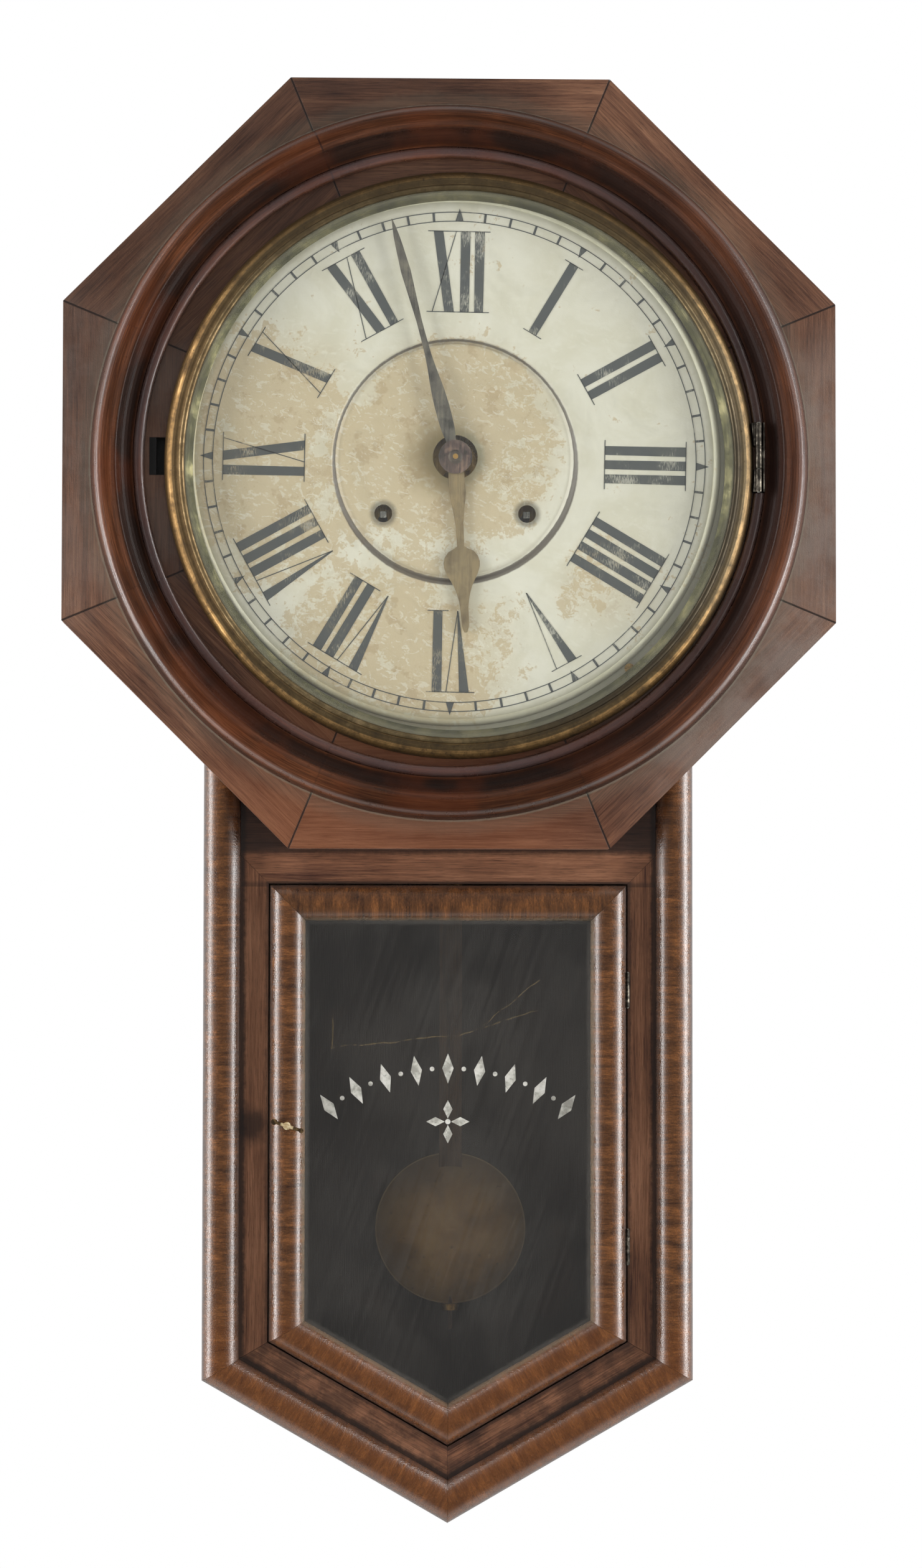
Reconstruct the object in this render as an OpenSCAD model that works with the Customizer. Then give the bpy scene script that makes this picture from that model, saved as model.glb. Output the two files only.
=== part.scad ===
// Wall regulator clock: long-drop octagon case, hinged brass bezel, glazed pendulum
// door and an eight-day time-and-strike spring movement.
// Millimetres, +Z up, the front towards -Y. The origin is on the wall plane, behind
// the centre of the octagon head.

/* [Case] */
// Width of the flat rim of the octagon head, outside the round moulding
head_rim = 15.7; // [14:0.1:18]
// Overall height, from the top of the head to the point of the trunk
overall_h = 813; // [800:1:840]
// Width of the trunk
trunk_w = 276; // [274:1:282]
// Slope of the two lower edges of the trunk, in degrees
v_angle = 30; // [28:0.5:32]
// Height of the case box above the centre of the head
box_top = 160; // [150:1:164]
// Thickness of the backboard
back_t = 9; // [8:0.5:11]
// Thickness of the side, top and lower boards
board_t = 10; // [8:0.5:11]
// Depth from the wall to the front of the flat trunk panel
panel_z = 93; // [91:1:97]
// Thickness of the flat trunk panel
panel_t = 9; // [8:0.5:10]
// Thickness of the octagon head boards
head_t = 20; // [18:1:22]
// Width of the dial's seat round the hole through the head
dial_seat = 11; // [10:0.5:12]
// Width of the open joint line between two mitred boards
joint_w = 0.12; // [0.06:0.02:0.3]
// Depth of the finger slot beside the bezel
slot_d = 7; // [5:0.5:9]
// Height of the finger slot
slot_h = 21; // [18:1:24]
// Width of the finger slot
slot_w = 9; // [8:0.5:10]

/* [Mouldings] */
// Width of the half-round moulding round the trunk
mould_w = 20.7; // [19:0.1:22]
// Height of that moulding above the panel
mould_h = 9.5; // [8:0.1:10]
// Width of the flat panel between the moulding and the door
flat_w = 16; // [15:0.5:17]
// Width of the round moulding on the head
ring_w = 30.3; // [30:0.1:31]
// Distance of its crest from its inner edge
ring_crest = 16.5; // [16:0.1:17]
// Gap between the bezel and the round moulding
ring_gap = 6; // [5.9:0.1:7]
// Height of the crest of the round moulding above the head
ring_h = 15; // [13:0.5:16]
// Radius of the bead along the inner edge
bead_r = 3.2; // [2.8:0.1:3.4]

/* [Door] */
// Distance of the upper door edge below the octagon head
door_below = 20.2; // [18:0.1:24]
// Running gap round the door
door_gap = 0.8; // [0.6:0.1:1]
// Width of the half-round door moulding
door_w = 20; // [19:0.5:21]
// Height of the door moulding above the panel
door_h = 9.8; // [8:0.1:10]
// Thickness of the door frame below the moulding
door_t = 10; // [9:0.5:11]
// Thickness of the door glass
glass_t = 2; // [1.6:0.2:2.4]
// Width of the rebate that holds the door glass
rebate_w = 6; // [5:0.5:7]
// Length of each door hinge
hinge_len = 20; // [18:1:24]
// Radius of the door hinge knuckles
knuckle_r = 1.3; // [1.2:0.05:1.4]
// Distance of the upper door hinge below the upper door edge
hinge_drop = 59; // [50:1:70]
// Distance of the lower door hinge above the lower door corner
hinge_rise = 53; // [45:0.5:60]
// Distance of the latch below the upper door edge
latch_drop = 135.3; // [120:0.5:145]

/* [Bezel] */
// Outer radius of the brass bezel
bezel_r = 165.5; // [165:0.1:165.6]
// Width of the brass bezel
bezel_w = 11.5; // [11:0.1:12]
// Distance of the bezel centre to the right of the head centre
bezel_x = 5.2; // [5:0.1:5.2]
// Distance of the bezel centre below the head centre
bezel_drop = 2; // [0:0.5:3]
// Height of the bezel above the head
bezel_h = 12; // [11:0.5:13]
// Length of the bezel hinge
bezel_hinge_len = 39; // [34:1:42]
// Radius of the bezel hinge knuckles
bezel_knuckle_r = 2; // [1.8:0.05:2]

/* [Dial and hands] */
// Distance of the white dial's edge inside the bezel
dial_in = 8; // [7.5:0.1:9]
// Thickness of the dial sheet
dial_t = 0.8; // [0.6:0.1:1]
// Distance of the printed dial centre to the right of the head centre
dial_x = 2.6; // [2:0.1:3]
// Distance of the printed dial centre above the head centre
dial_up = 1; // [0:0.1:2]
// Radius of the winding holes in the dial
key_hole_r = 5; // [4.5:0.1:6]
// Radius of the centre hole in the dial
centre_hole_r = 12.6; // [12:0.1:13]
// Distance of the minute hand's tip inside the dial's edge
minute_in = 7; // [5:0.5:12]
// Distance of the hour hand's tip inside the dial's edge
hour_in = 47; // [42:1:54]
// Thickness of the hands
hand_t = 0.8; // [0.6:0.1:1]
// Minute hand at rest, in degrees clockwise from twelve
minute_rest = -15; // [-180:1:180]
// Hour hand at rest, in degrees clockwise from twelve
hour_rest = 176.5; // [-180:0.5:180]

/* [Movement] */
// Distance of the hand arbor to the right of the head centre
arbor_x = 3; // [2.5:0.1:3.5]
// Distance of the hand arbor above the head centre
arbor_up = 2.5; // [2:0.1:3]
// Width of the movement plates
plate_w = 114; // [112:1:118]
// Distance of the plates' lower edge below the hand arbor
plate_low = 70; // [68:1:74]
// Distance of the plates' upper edge above the hand arbor
plate_high = 76; // [74:1:80]
// Thickness of each plate
plate_t = 1.6; // [1.4:0.1:2]
// Distance between the two plates
plate_gap = 30; // [29.5:0.5:31]
// Thickness of the two wooden blocks that carry the movement
block_t = 36; // [35:0.5:38]
// Distance of each winding arbor to the side of the hand arbor
wind_x = 40.4; // [40:0.1:40.8]
// Distance of the winding arbors below the hand arbor
wind_drop = 31.8; // [31.4:0.1:32.2]
// Width of the winding squares across their flats
square_w = 3.6; // [3:0.1:3.8]
// Distance of the winding squares behind the dial
square_back = 5; // [4:0.5:8]
// Radial clearance of every arbor in its hole
run = 0.06; // [0.04:0.01:0.08]
// Tip radius of the escape wheel
escape_r = 16; // [15.5:0.1:16.4]
// Width of the mainsprings
spring_w = 18; // [16:0.5:18]

/* [Pendulum and gong] */
// Distance from the suspension to the centre of the bob
pendulum_len = 495; // [485:1:497]
// Radius of the pendulum bob
bob_r = 44; // [40:0.5:45]
// Thickness of the pendulum bob
bob_t = 12; // [10:0.5:14]
// Width of the wooden pendulum rod
rod_w = 13; // [11:0.5:14]
// Thickness of the wooden pendulum rod
rod_t = 4; // [3.5:0.1:4.5]
// Depth from the wall to the plane of the pendulum
pendulum_z = 27; // [26.5:0.5:28]
// Outer radius of the coil gong
gong_r = 46; // [42:1:48]
// Distance of the gong centre to the right of the hand arbor
gong_x = 27; // [25:0.5:30]
// Distance of the gong centre below the hand arbor
gong_drop = 152; // [148:1:158]

/* [Hanger] */
// Radius of the hanging hole
hang_r = 5; // [4:0.5:6]
// Height of the hanging hole above the head centre
hang_up = 126; // [120:1:130]
// Thickness of the hanger plate
hang_t = 1.6; // [1.2:0.1:2]

/* [Hidden] */
$fn = 96;
seat = 0.05;
cut = 3;

wood = [0.33, 0.15, 0.09];
wood_dark = [0.24, 0.10, 0.06];
pine = [0.62, 0.45, 0.27];
brass = [0.70, 0.53, 0.27];
old_brass = [0.42, 0.36, 0.22];
steel = [0.45, 0.46, 0.48];
blued = [0.20, 0.22, 0.28];
cream = [0.86, 0.84, 0.74];
glass_tint = [0.75, 0.80, 0.80, 0.35];

// Head, from the bezel outwards and inwards
ring_in_r = bezel_r + ring_gap;
ring_crest_r = ring_in_r + ring_crest;
ring_r = ring_in_r + ring_w;
head_w = 2 * (ring_r + head_rim);
sight_r = bezel_r - bezel_w;
dial_r = sight_r - dial_in;
head_hole_r = dial_r - dial_seat;
minute_len = dial_r - minute_in;
hour_len = dial_r - hour_in;
door_drop = head_w / 2 + door_below;

// Depths from the wall, working forwards
head_z = panel_z + head_t;
block_front = back_t + block_t;
gong_z = back_t + 4;
inner_z = block_front + plate_t;
front_z = inner_z + plate_gap;
motion_z = front_z + plate_t;
dial_front = head_z + dial_t;
hour_z = dial_front + 1;
minute_z = hour_z + hand_t + 0.9;
nut_z = minute_z + hand_t;
nut_h = 1.8;
crutch_z = pendulum_z + 7;
square_end = head_z - square_back;

// Layers of the wheels between the plates, from the inner face of the back plate
escape_z = inner_z + 3.6;
third_z = inner_z + 9.4;
centre_z = inner_z + 15.4;
great_z = inner_z + 22.4;
second_z = inner_z + 26.6;
great_t = 1.8;
wheel_t = 1.2;
spring_z = inner_z + 1.4;

// Hanger plate and screws
hang_w = 60;
hang_h = 26;
hang_screw = 22;
screw_r = 1.4;
screw_len = 6;
foot_len = 10;
head_r = 2 * screw_r;
head_h = 1.1;
slit_w = 0.6;
key_r = head_r + 1.2;

// Half the door, and the insets of the frames from the trunk outline
panel_in = mould_w + flat_w;
door_in = panel_in + door_gap;
frame_top = -door_drop + door_gap + panel_in;
panel_up = trunk_w / 2 - head_w / sqrt(2) + 10;
door_x = trunk_w / 2 - door_in;
door_back = panel_z - door_t;
glass_z = panel_z - 3 - glass_t;
hinge_at = [door_x + door_gap - 0.1, panel_z + 1];
leaf_t = 0.8;
door_pin_r = 0.6;
strip_w = 5;
spindle_r = 1.2;
latch_front = panel_z + door_h;

// Bezel, its hinge, and the screws of the dial
bezel_back = head_z + 0.6;
skin = 1;
roll_r = 1.75;
band_w = 7;
band_z = 3.5;
band_rise = bezel_h - band_z - 2;
pane_z = head_z + bezel_h - 2.6 - seat;
mortise_x = ring_in_r + 5;
// Power of the outer curve of the round moulding: 1 is a plain ellipse
ring_square = 0.78;
bezel_hinge_y = 2.4;
bezel_axis = [ring_in_r + 1.8, head_z + bezel_h - 4];
bezel_pin_r = 0.9;
bezel_third = bezel_hinge_len / 3;
dial_screws = [50, 130, 230, 310];
dial_screw_r = dial_r + 7;
rim_r = 2;

// Teeth: addendum and dedendum in modules, half widths of tip and root in pitches
addendum = 0.8;
dedendum = 1.1;
tip_half = 0.085;
root_half = 0.25;
rim_w = 2.4;

// Wheel trains: tooth numbers and modules
great_n = 72;
second_pinion_n = 12;
great_m = 0.8;
second_n = 48;
centre_pinion_n = 12;
second_m = 0.7;
centre_n = 68;
third_pinion_n = 8;
centre_m = 0.52;
third_n = 80;
escape_pinion_n = 8;
third_m = 0.42;
escape_n = 30;
cannon_n = 14;
minute_n = 42;
cannon_m = 0.6;
minute_pinion_n = 12;
hour_n = 48;
hour_m = cannon_m * (cannon_n + minute_n) / (minute_pinion_n + hour_n);
strike_second_n = 60;
strike_second_m = 0.5;
strike_third_pinion_n = 8;
strike_third_n = 50;
ratchet_n = 24;
ratchet_r = 9;

function polar(r, a) = [r * cos(a), r * sin(a)];
function spread(n1, n2, m) = m * (n1 + n2) / 2;
function bearing(p, q) = atan2(q[1] - p[1], q[0] - p[0]);

// The point at distance ra from a and rb from b, on the left of the way from a to b
function meet(a, ra, b, rb) =
    let (d = norm(b - a), u = (b - a) / d,
         along = (ra * ra - rb * rb + d * d) / (2 * d),
         off = sqrt(ra * ra - along * along))
    a + along * u + off * [-u[1], u[0]];

// Arbor centres in the plane of the dial
hammer_x = 9;
hammer_drop = 52;
hands = [arbor_x, arbor_up];
time_wind = hands + [wind_x, -wind_drop];
strike_wind = hands + [-wind_x, -wind_drop];
time_second = meet(hands, spread(second_n, centre_pinion_n, second_m),
                   time_wind, spread(great_n, second_pinion_n, great_m));
third = hands + polar(spread(centre_n, third_pinion_n, centre_m), 62);
escape_d = spread(third_n, escape_pinion_n, third_m);
escape = [arbor_x, third[1] + sqrt(escape_d * escape_d - pow(third[0] - arbor_x, 2))];
anchor_at = escape + [0, escape_r * sqrt(2) + 2];
motion = hands + polar(spread(cannon_n, minute_n, cannon_m), -50);
strike_second = strike_wind + polar(spread(great_n, second_pinion_n, great_m), 75);
strike_third = strike_second
    + polar(spread(strike_second_n, strike_third_pinion_n, strike_second_m), 80);
hammer_at = hands + [-hammer_x, -hammer_drop];
gong_at = hands + [gong_x, -gong_drop];
bezel_at = [bezel_x, -bezel_drop];
dial_at = [dial_x, dial_up];
bob_at = anchor_at - [0, pendulum_len];
slot_at = [bezel_x - bezel_r, 2.6];
latch_at = [-(door_x - door_w / 2), -door_drop - latch_drop];
hang_at = [0, hang_up];

// Blocks, pillars and foot screws, from the hand arbor
block_x = 46;
block_w = 18;
pillar_r = 3;
pillar_in = 6;
function pillar_at(s, k) =
    hands + [s * (plate_w / 2 - pillar_in), k == 0 ? pillar_in - plate_low : plate_high - pillar_in];
foot_screws = [for (s = [-1, 1]) for (k = [0, 1]) pillar_at(s, k) - [8 * s, 0]];

window_in = 11;
window_h = 50;

// Arbors, springs and small parts of the movement
arbor_r = 1.5;
fine_arbor_r = 1.1;
pivot_r = 0.9;
wind_r = 2.6;
core_r = 4.2;
stud_r = 1.2;
pipe_in = arbor_r + 0.3;
pipe_r = 3.2;
spring_turns = 9;
strip_t = 0.5;
core_gap = 0.3;
spring_r = norm(pillar_at(1, 0) - time_wind) - pillar_r - strip_t - seat;
hour_hub_r = 9.3;
minute_hub_r = 9.5;
rod_tail = 30;
thread_tail = 14;
hand_nut_r = 4;
wire_r = 1.2;
crutch_len = 44;
ribbon_w = 3;
rod_top = 62;
ribbon_gap = 0.65;
count_notches = 12;
head_x = gong_at[0] - gong_r - hammer_at[0] - 5.4;
head_y = gong_at[1] - hammer_at[1];
tail_len = 38;
gong_turns = 4;
gong_wire = 3;

// Everything is drawn in the plane of the dial, with the depth from the wall as z
module face() rotate([90, 0, 0]) children();
module at(p) translate([p[0], p[1], 0]) children();
module slab(z0, z1) translate([0, 0, z0]) linear_extrude(z1 - z0) children();
module shaft(r, z0, z1) translate([0, 0, z0]) cylinder(r = r, h = z1 - z0);
module box(x0, x1, y0, y1, z0, z1) translate([x0, y0, z0]) cube([x1 - x0, y1 - y0, z1 - z0]);

// Trunk outline, inset by t: upper left, lower left, point, lower right, upper right
function half(t) = trunk_w / 2 - t;
function apex(t) = head_w / 2 - overall_h + t / cos(v_angle);
function low(t) = apex(t) + half(t) * tan(v_angle);
function corner(i, t, top) =
    i % 5 == 0 ? [-half(t), top - t] :
    i % 5 == 1 ? [-half(t), low(t)] :
    i % 5 == 2 ? [0, apex(t)] :
    i % 5 == 3 ? [half(t), low(t)] : [half(t), top - t];
function unit(p, q) = (q - p) / norm(q - p);

// One mitred piece of a frame between the insets t0 and t1, with open joint lines
module mitred(i, t0, t1, top) {
    d = unit(corner(i, t0, top), corner(i + 1, t0, top)) * joint_w / 2;
    polygon([corner(i, t0, top) + d, corner(i + 1, t0, top) - d,
             corner(i + 1, t1, top) - d, corner(i, t1, top) + d]);
}

// Section of a half-round of width w and height h, as part of a circle
module half_round(w, h) {
    r = (h * h + w * w / 4) / (2 * h);
    intersection() {
        translate([w / 2, h - r]) circle(r);
        square([w, h]);
    }
}

// Sweeps a section along side i of the outline at inset t, inwards and forwards
module run_along(i, t, top) {
    p = corner(i, t - cut, top);
    q = corner(i + 1, t - cut, top);
    at(p) rotate([0, 0, bearing(p, q)]) rotate([90, 0, 90]) linear_extrude(norm(q - p))
        translate([cut, 0]) children();
}

module moulded(i, t, w, top, z0, z1) {
    intersection() {
        run_along(i, t, top) children();
        slab(z0 - cut, z1 + cut) mitred(i, t - cut, t + w + cut, top);
    }
}

module octagon(w) rotate(22.5) circle(r = w / 2 / cos(22.5), $fn = 8);

module backboard() color(pine) face() difference() {
    slab(0, back_t) polygon([for (i = [0:4]) corner(i, board_t + seat, box_top)]);
    at(hang_at) shaft(hang_r + 4, hang_t, back_t + cut);
    at(hang_at) slab(-cut, hang_t) plate_2d(hang_w + 2 * seat, hang_h + 2 * seat);
    for (s = [-1, 1]) at(hang_at + [s * hang_screw, 0]) shaft(screw_r + seat, 0, screw_len + cut);
}
module plate_2d(w, h) translate([-w / 2, -h / 2]) square([w, h]);

module hanger_plate() color(steel) face() at(hang_at) difference() {
    slab(0, hang_t) plate_2d(hang_w, hang_h);
    shaft(hang_r, -cut, hang_t + cut);
    for (s = [-1, 1]) translate([s * hang_screw, 0, 0]) shaft(screw_r + seat, -cut, hang_t + cut);
}

// Side boards reach the head above the panel and the back of the panel below it
module side_board(s) {
    slab(0, panel_z - panel_t)
        polygon([for (p = [corner(0, 0, box_top), corner(1, 0, box_top),
                           corner(1, board_t, box_top), corner(0, board_t, box_top)])
                 [s * p[0], p[1]]]);
    slab(panel_z - panel_t - seat, panel_z)
        polygon([for (p = [corner(0, 0, box_top), [-half(0), panel_up + seat],
                           [-half(board_t), panel_up + seat], corner(0, board_t, box_top)])
                 [s * p[0], p[1]]]);
}
module left_side_board() color(wood) face() side_board(1);
module right_side_board() color(wood) face() side_board(-1);

module top_board() color(wood) face() slab(0, panel_z) mitred(4, 0, board_t, box_top);

module lower_boards() color(wood) face() for (i = [1, 2])
    slab(0, panel_z - panel_t) mitred(i, 0, board_t, box_top);

module hinge_row() for (y = [-door_drop - hinge_drop, low(door_in) + hinge_rise])
    translate([0, y, 0]) children();
module upright(r, y0, y1) translate([0, y1, 0]) rotate([90, 0, 0]) cylinder(r = r, h = y1 - y0);
module door_axis() translate([hinge_at[0], 0, hinge_at[1]]) children();
module hinge_groove() hinge_row() door_axis()
    upright(knuckle_r + 0.3, -hinge_len / 2 - 0.3, hinge_len / 2 + 0.3);

// Flat panel: five mitred boards; the upper ones run on behind the head
module panel_stile(s) polygon([for (p = [[-half(0), panel_up], corner(1, 0, 0) + [0, joint_w],
    corner(1, panel_in, 0) + [0, joint_w], corner(0, panel_in, frame_top) - [0, joint_w],
    corner(0, mould_w, frame_top) - [0, joint_w], [-half(mould_w), panel_up]]) [s * p[0], p[1]]]);
module panel_top_rail() polygon([for (p = [[-1, panel_up], [-1, frame_top - mould_w]])
        [p[0] * (half(mould_w) - joint_w), p[1]],
    corner(0, panel_in, frame_top), corner(4, panel_in, frame_top),
    for (p = [[1, frame_top - mould_w], [1, panel_up]]) [p[0] * (half(mould_w) - joint_w), p[1]]]);
module front_panel() color(wood_dark) face() difference() {
    slab(panel_z - panel_t, panel_z) {
        for (s = [-1, 1]) panel_stile(s);
        for (i = [1, 2]) mitred(i, 0, panel_in, frame_top);
        panel_top_rail();
    }
    hinge_groove();
    hinge_row() box(door_x, door_x + door_gap + leaf_t + seat, -hinge_len / 2 - seat,
                    hinge_len / 2 + seat, panel_z - panel_t + 1, panel_z + cut);
}

module trunk_moulding(i) difference() {
    moulded(i, 0, mould_w, panel_up, panel_z, panel_z + mould_h)
        translate([0, panel_z]) half_round(mould_w, mould_h);
    slab(panel_z - cut, head_z + cut) octagon(head_w + 2 * seat);
}
module trunk_side_mouldings() color(wood) face() for (i = [0, 3]) trunk_moulding(i);
module trunk_lower_mouldings() color(wood) face() for (i = [1, 2]) trunk_moulding(i);

module octagon_frame() color(wood) face() difference() {
    slab(panel_z, head_z) octagon(head_w);
    shaft(head_hole_r, panel_z - cut, head_z + cut);
    for (k = [0:3]) rotate(22.5 + 45 * k)
        box(-head_w, head_w, -joint_w / 2, joint_w / 2, panel_z - cut, head_z + cut);
    at(slot_at) slab(head_z - slot_d, head_z + cut) plate_2d(slot_w, slot_h);
    for (a = dial_screws) at(dial_at + polar(dial_screw_r, a))
        shaft(screw_r + seat, head_z - screw_len - cut, head_z + cut);
}

// Section of the round moulding: bead, cove and crest inside, quarter-round outside
function ring_section() =
    let (bead = ring_in_r + bead_r, cove_r = ring_crest_r - 1.6 - (bead + bead_r),
         cove_z = ring_h - 1.6, bead_z = cove_z - cove_r)
    concat(
        [[ring_in_r, 0]],
        [for (a = [180:-15:15]) [bead, bead_z - bead_r / 2] + polar(bead_r, a)],
        [for (a = [270:12:360]) [bead + bead_r, cove_z] + [cove_r * cos(a), cove_r * sin(a)]],
        [for (a = [180:-30:90]) [ring_crest_r, cove_z] + polar(1.6, a)],
        [for (a = [84:-7:0]) [ring_crest_r + (ring_r - ring_crest_r) * pow(cos(a), ring_square),
                              ring_h * pow(sin(a), ring_square)]],
        [[ring_r, 0]]
    );
module ring_moulding() color(wood) face() difference() {
    translate([0, 0, head_z]) rotate_extrude($fn = 180) polygon(ring_section());
    at([0, bezel_hinge_y]) box(ring_in_r - 8, mortise_x, -bezel_hinge_len / 2 - 0.4,
                            bezel_hinge_len / 2 + 0.4, head_z - cut, head_z + 2 * ring_h);
}

module movement_blocks() color(pine) face() difference() {
    for (s = [-1, 1]) at(hands + [s * block_x, 0])
        box(-block_w / 2, block_w / 2, -plate_low - 8, plate_high + 6, back_t, block_front);
    for (p = foot_screws) at(p) shaft(screw_r + seat, block_front - foot_len, block_front + cut);
}

module screw(len) {
    shaft(screw_r, -len, head_h / 2);
    difference() {
        shaft(head_r, 0, head_h);
        box(-head_r - cut, head_r + cut, -slit_w / 2, slit_w / 2, head_h / 2, head_h + cut);
    }
}
module case_screws() color(old_brass) face() {
    for (a = dial_screws) at(dial_at + polar(dial_screw_r, a)) translate([0, 0, dial_front])
        screw(screw_len);
    for (p = foot_screws) at(p) translate([0, 0, inner_z]) screw(foot_len);
    for (s = [-1, 1]) at(hang_at + [s * hang_screw, 0]) shaft(screw_r, 0, screw_len);
}

module dial_pan() color(cream) face() difference() {
    union() {
        at(dial_at) shaft(dial_screw_r + 4, head_z, dial_front);
        at(dial_at) translate([0, 0, dial_front - seat]) rotate_extrude($fn = 180)
            translate([dial_r + rim_r, 0]) intersection() {
                circle(rim_r);
                translate([-rim_r, 0]) square([2 * rim_r, rim_r]);
            }
    }
    at(hands) shaft(centre_hole_r, head_z - cut, head_z + cut);
    for (p = [time_wind, strike_wind]) at(p) shaft(key_hole_r, head_z - cut, head_z + cut);
    for (a = dial_screws) at(dial_at + polar(dial_screw_r, a))
        shaft(screw_r + seat, head_z - cut, dial_front + cut);
}

// Bezel: outer band, groove, edge line and inner bead, as thin spun brass
module bezel_ring() color(brass) face() at(bezel_at) translate([0, 0, head_z])
    rotate_extrude($fn = 180) polygon(concat(
        [[bezel_r, bezel_back - head_z]],
        [for (a = [0:10:90]) [bezel_r - band_w, band_z] + [band_w * cos(a), band_rise * sin(a)]],
        [for (a = [0:15:180]) [sight_r + roll_r, bezel_h - roll_r] + roll_r * [cos(a), sin(a)]],
        [[sight_r, bezel_h - 2.6], [bezel_r - band_w - 1, bezel_h - 2.6]],
        [for (a = [90:-10:0]) [bezel_r - band_w, band_z]
            + [(band_w - skin) * cos(a), (band_rise - skin) * sin(a)]],
        [[bezel_r - skin, bezel_back - head_z]]
    ));
module bezel_glass() color(glass_tint) face() at(bezel_at)
    shaft(sight_r + 3, pane_z - glass_t, pane_z);

// Cone from the glass down to the rim of the dial
module sight_ring() color(old_brass) face() at(bezel_at) rotate_extrude($fn = 180)
    polygon([[sight_r + 3.6, pane_z - glass_t - seat], [sight_r - 0.4, pane_z - glass_t - seat],
             [sight_r - 4.6, dial_front + 2.6], [sight_r - 4.1, dial_front + 2.4],
             [sight_r, pane_z - glass_t - 0.7], [sight_r + 3.6, pane_z - glass_t - 0.7]]);

module bezel_hinge() translate([bezel_axis[0], bezel_hinge_y, bezel_axis[1]]) children();
module bezel_hinge_leaf() color(brass) face() difference() {
    union() for (s = [-1, 1]) {
        bezel_hinge() upright(bezel_knuckle_r, s * bezel_third - bezel_third / 2 + 0.15,
                              s * bezel_third + bezel_third / 2 - 0.15);
        at([0, bezel_hinge_y]) box(bezel_axis[0] - 8, bezel_axis[0] - 1,
            s * bezel_third - bezel_third / 2 + 0.15, s * bezel_third + bezel_third / 2 - 0.15,
            bezel_back + 0.4, bezel_axis[1] + 0.4);
    }
    bezel_hinge() upright(bezel_pin_r + run, -bezel_hinge_len, bezel_hinge_len);
    at(bezel_at) shaft(bezel_r + 3 * seat, head_z - cut, head_z + 2 * ring_h);
}

module fixed_hinge_leaves() color(brass) face() {
    difference() {
        union() {
            bezel_hinge() upright(bezel_knuckle_r, -bezel_third / 2 + 0.15, bezel_third / 2 - 0.15);
            at([0, bezel_hinge_y]) box(mortise_x - leaf_t, mortise_x - seat, -bezel_hinge_len / 2,
                bezel_hinge_len / 2, head_z + seat, bezel_axis[1] + bezel_knuckle_r);
            at([0, bezel_hinge_y]) box(bezel_axis[0] + 1, mortise_x - seat, -bezel_third / 2 + 0.15,
                bezel_third / 2 - 0.15, bezel_axis[1] - 1.6, bezel_axis[1] + 0.2);
        }
        bezel_hinge() upright(bezel_pin_r + seat / 2, -bezel_hinge_len, bezel_hinge_len);
    }
    hinge_row() difference() {
        union() {
            door_axis() upright(knuckle_r, -hinge_len / 6 + 0.1, hinge_len / 6 - 0.1);
            box(door_x + door_gap, door_x + door_gap + leaf_t, -hinge_len / 2, hinge_len / 2,
                panel_z - panel_t + 1 + seat, panel_z - 0.8);
            box(door_x + door_gap - 0.1, door_x + door_gap + leaf_t, -hinge_len / 6 + 0.1,
                hinge_len / 6 - 0.1, panel_z - 2, hinge_at[1]);
        }
        door_axis() upright(door_pin_r + seat / 2, -hinge_len, hinge_len);
    }
}

module door_hinge_leaves() color(brass) face() hinge_row() difference() {
    union() for (s = [-1, 1]) {
        door_axis() upright(knuckle_r, s * hinge_len / 3 - hinge_len / 6 + 0.1,
                            s * hinge_len / 3 + hinge_len / 6 - 0.1);
        box(door_x - leaf_t, door_x, s * hinge_len / 3 - hinge_len / 6 + 0.1,
            s * hinge_len / 3 + hinge_len / 6 - 0.1, door_back + 1 + seat, hinge_at[1] - 0.4);
        box(door_x - leaf_t, hinge_at[0], s * hinge_len / 3 - hinge_len / 6 + 0.1,
            s * hinge_len / 3 + hinge_len / 6 - 0.1, hinge_at[1] - 1, hinge_at[1]);
    }
    door_axis() upright(door_pin_r + run, -hinge_len, hinge_len);
}

module hinge_pins() color(steel) face() {
    bezel_hinge() upright(bezel_pin_r, -bezel_hinge_len / 2 - 0.3, bezel_hinge_len / 2 + 0.3);
    hinge_row() door_axis() upright(door_pin_r, -hinge_len / 2 - 0.2, hinge_len / 2 + 0.2);
}

// Door: half-round on a rebated base, mitred at five corners
module door_section() {
    translate([0, door_back]) square([door_w - rebate_w, door_t + 0.01]);
    translate([0, glass_z + glass_t]) square([door_w, panel_z - glass_z - glass_t + 0.01]);
    translate([0, panel_z]) half_round(door_w, door_h);
}
module door_rail(i) difference() {
    moulded(i, door_in, door_w, frame_top, door_back, panel_z + door_h) door_section();
    hinge_groove();
    hinge_row() box(door_x - leaf_t - seat, door_x + cut, -hinge_len / 2 - seat,
                    hinge_len / 2 + seat, door_back + 1, panel_z + cut);
    at(latch_at) shaft(spindle_r + run, door_back - cut, panel_z + door_h + cut);
}
module door_stiles() color(wood) face() for (i = [0, 3]) door_rail(i);
module door_rails() color(wood) face() for (i = [1, 2, 4]) door_rail(i);

module door_glass() color(glass_tint) face() slab(glass_z, glass_z + glass_t)
    polygon([for (i = [0:4]) corner(i, door_in + door_w - rebate_w + 0.2, frame_top)]);

module glazing_strips() color(pine) face() for (i = [0:4]) slab(door_back + 0.5, glass_z - seat)
    mitred(i, door_in + door_w - rebate_w + seat, door_in + door_w - rebate_w + strip_w, frame_top);

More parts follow.
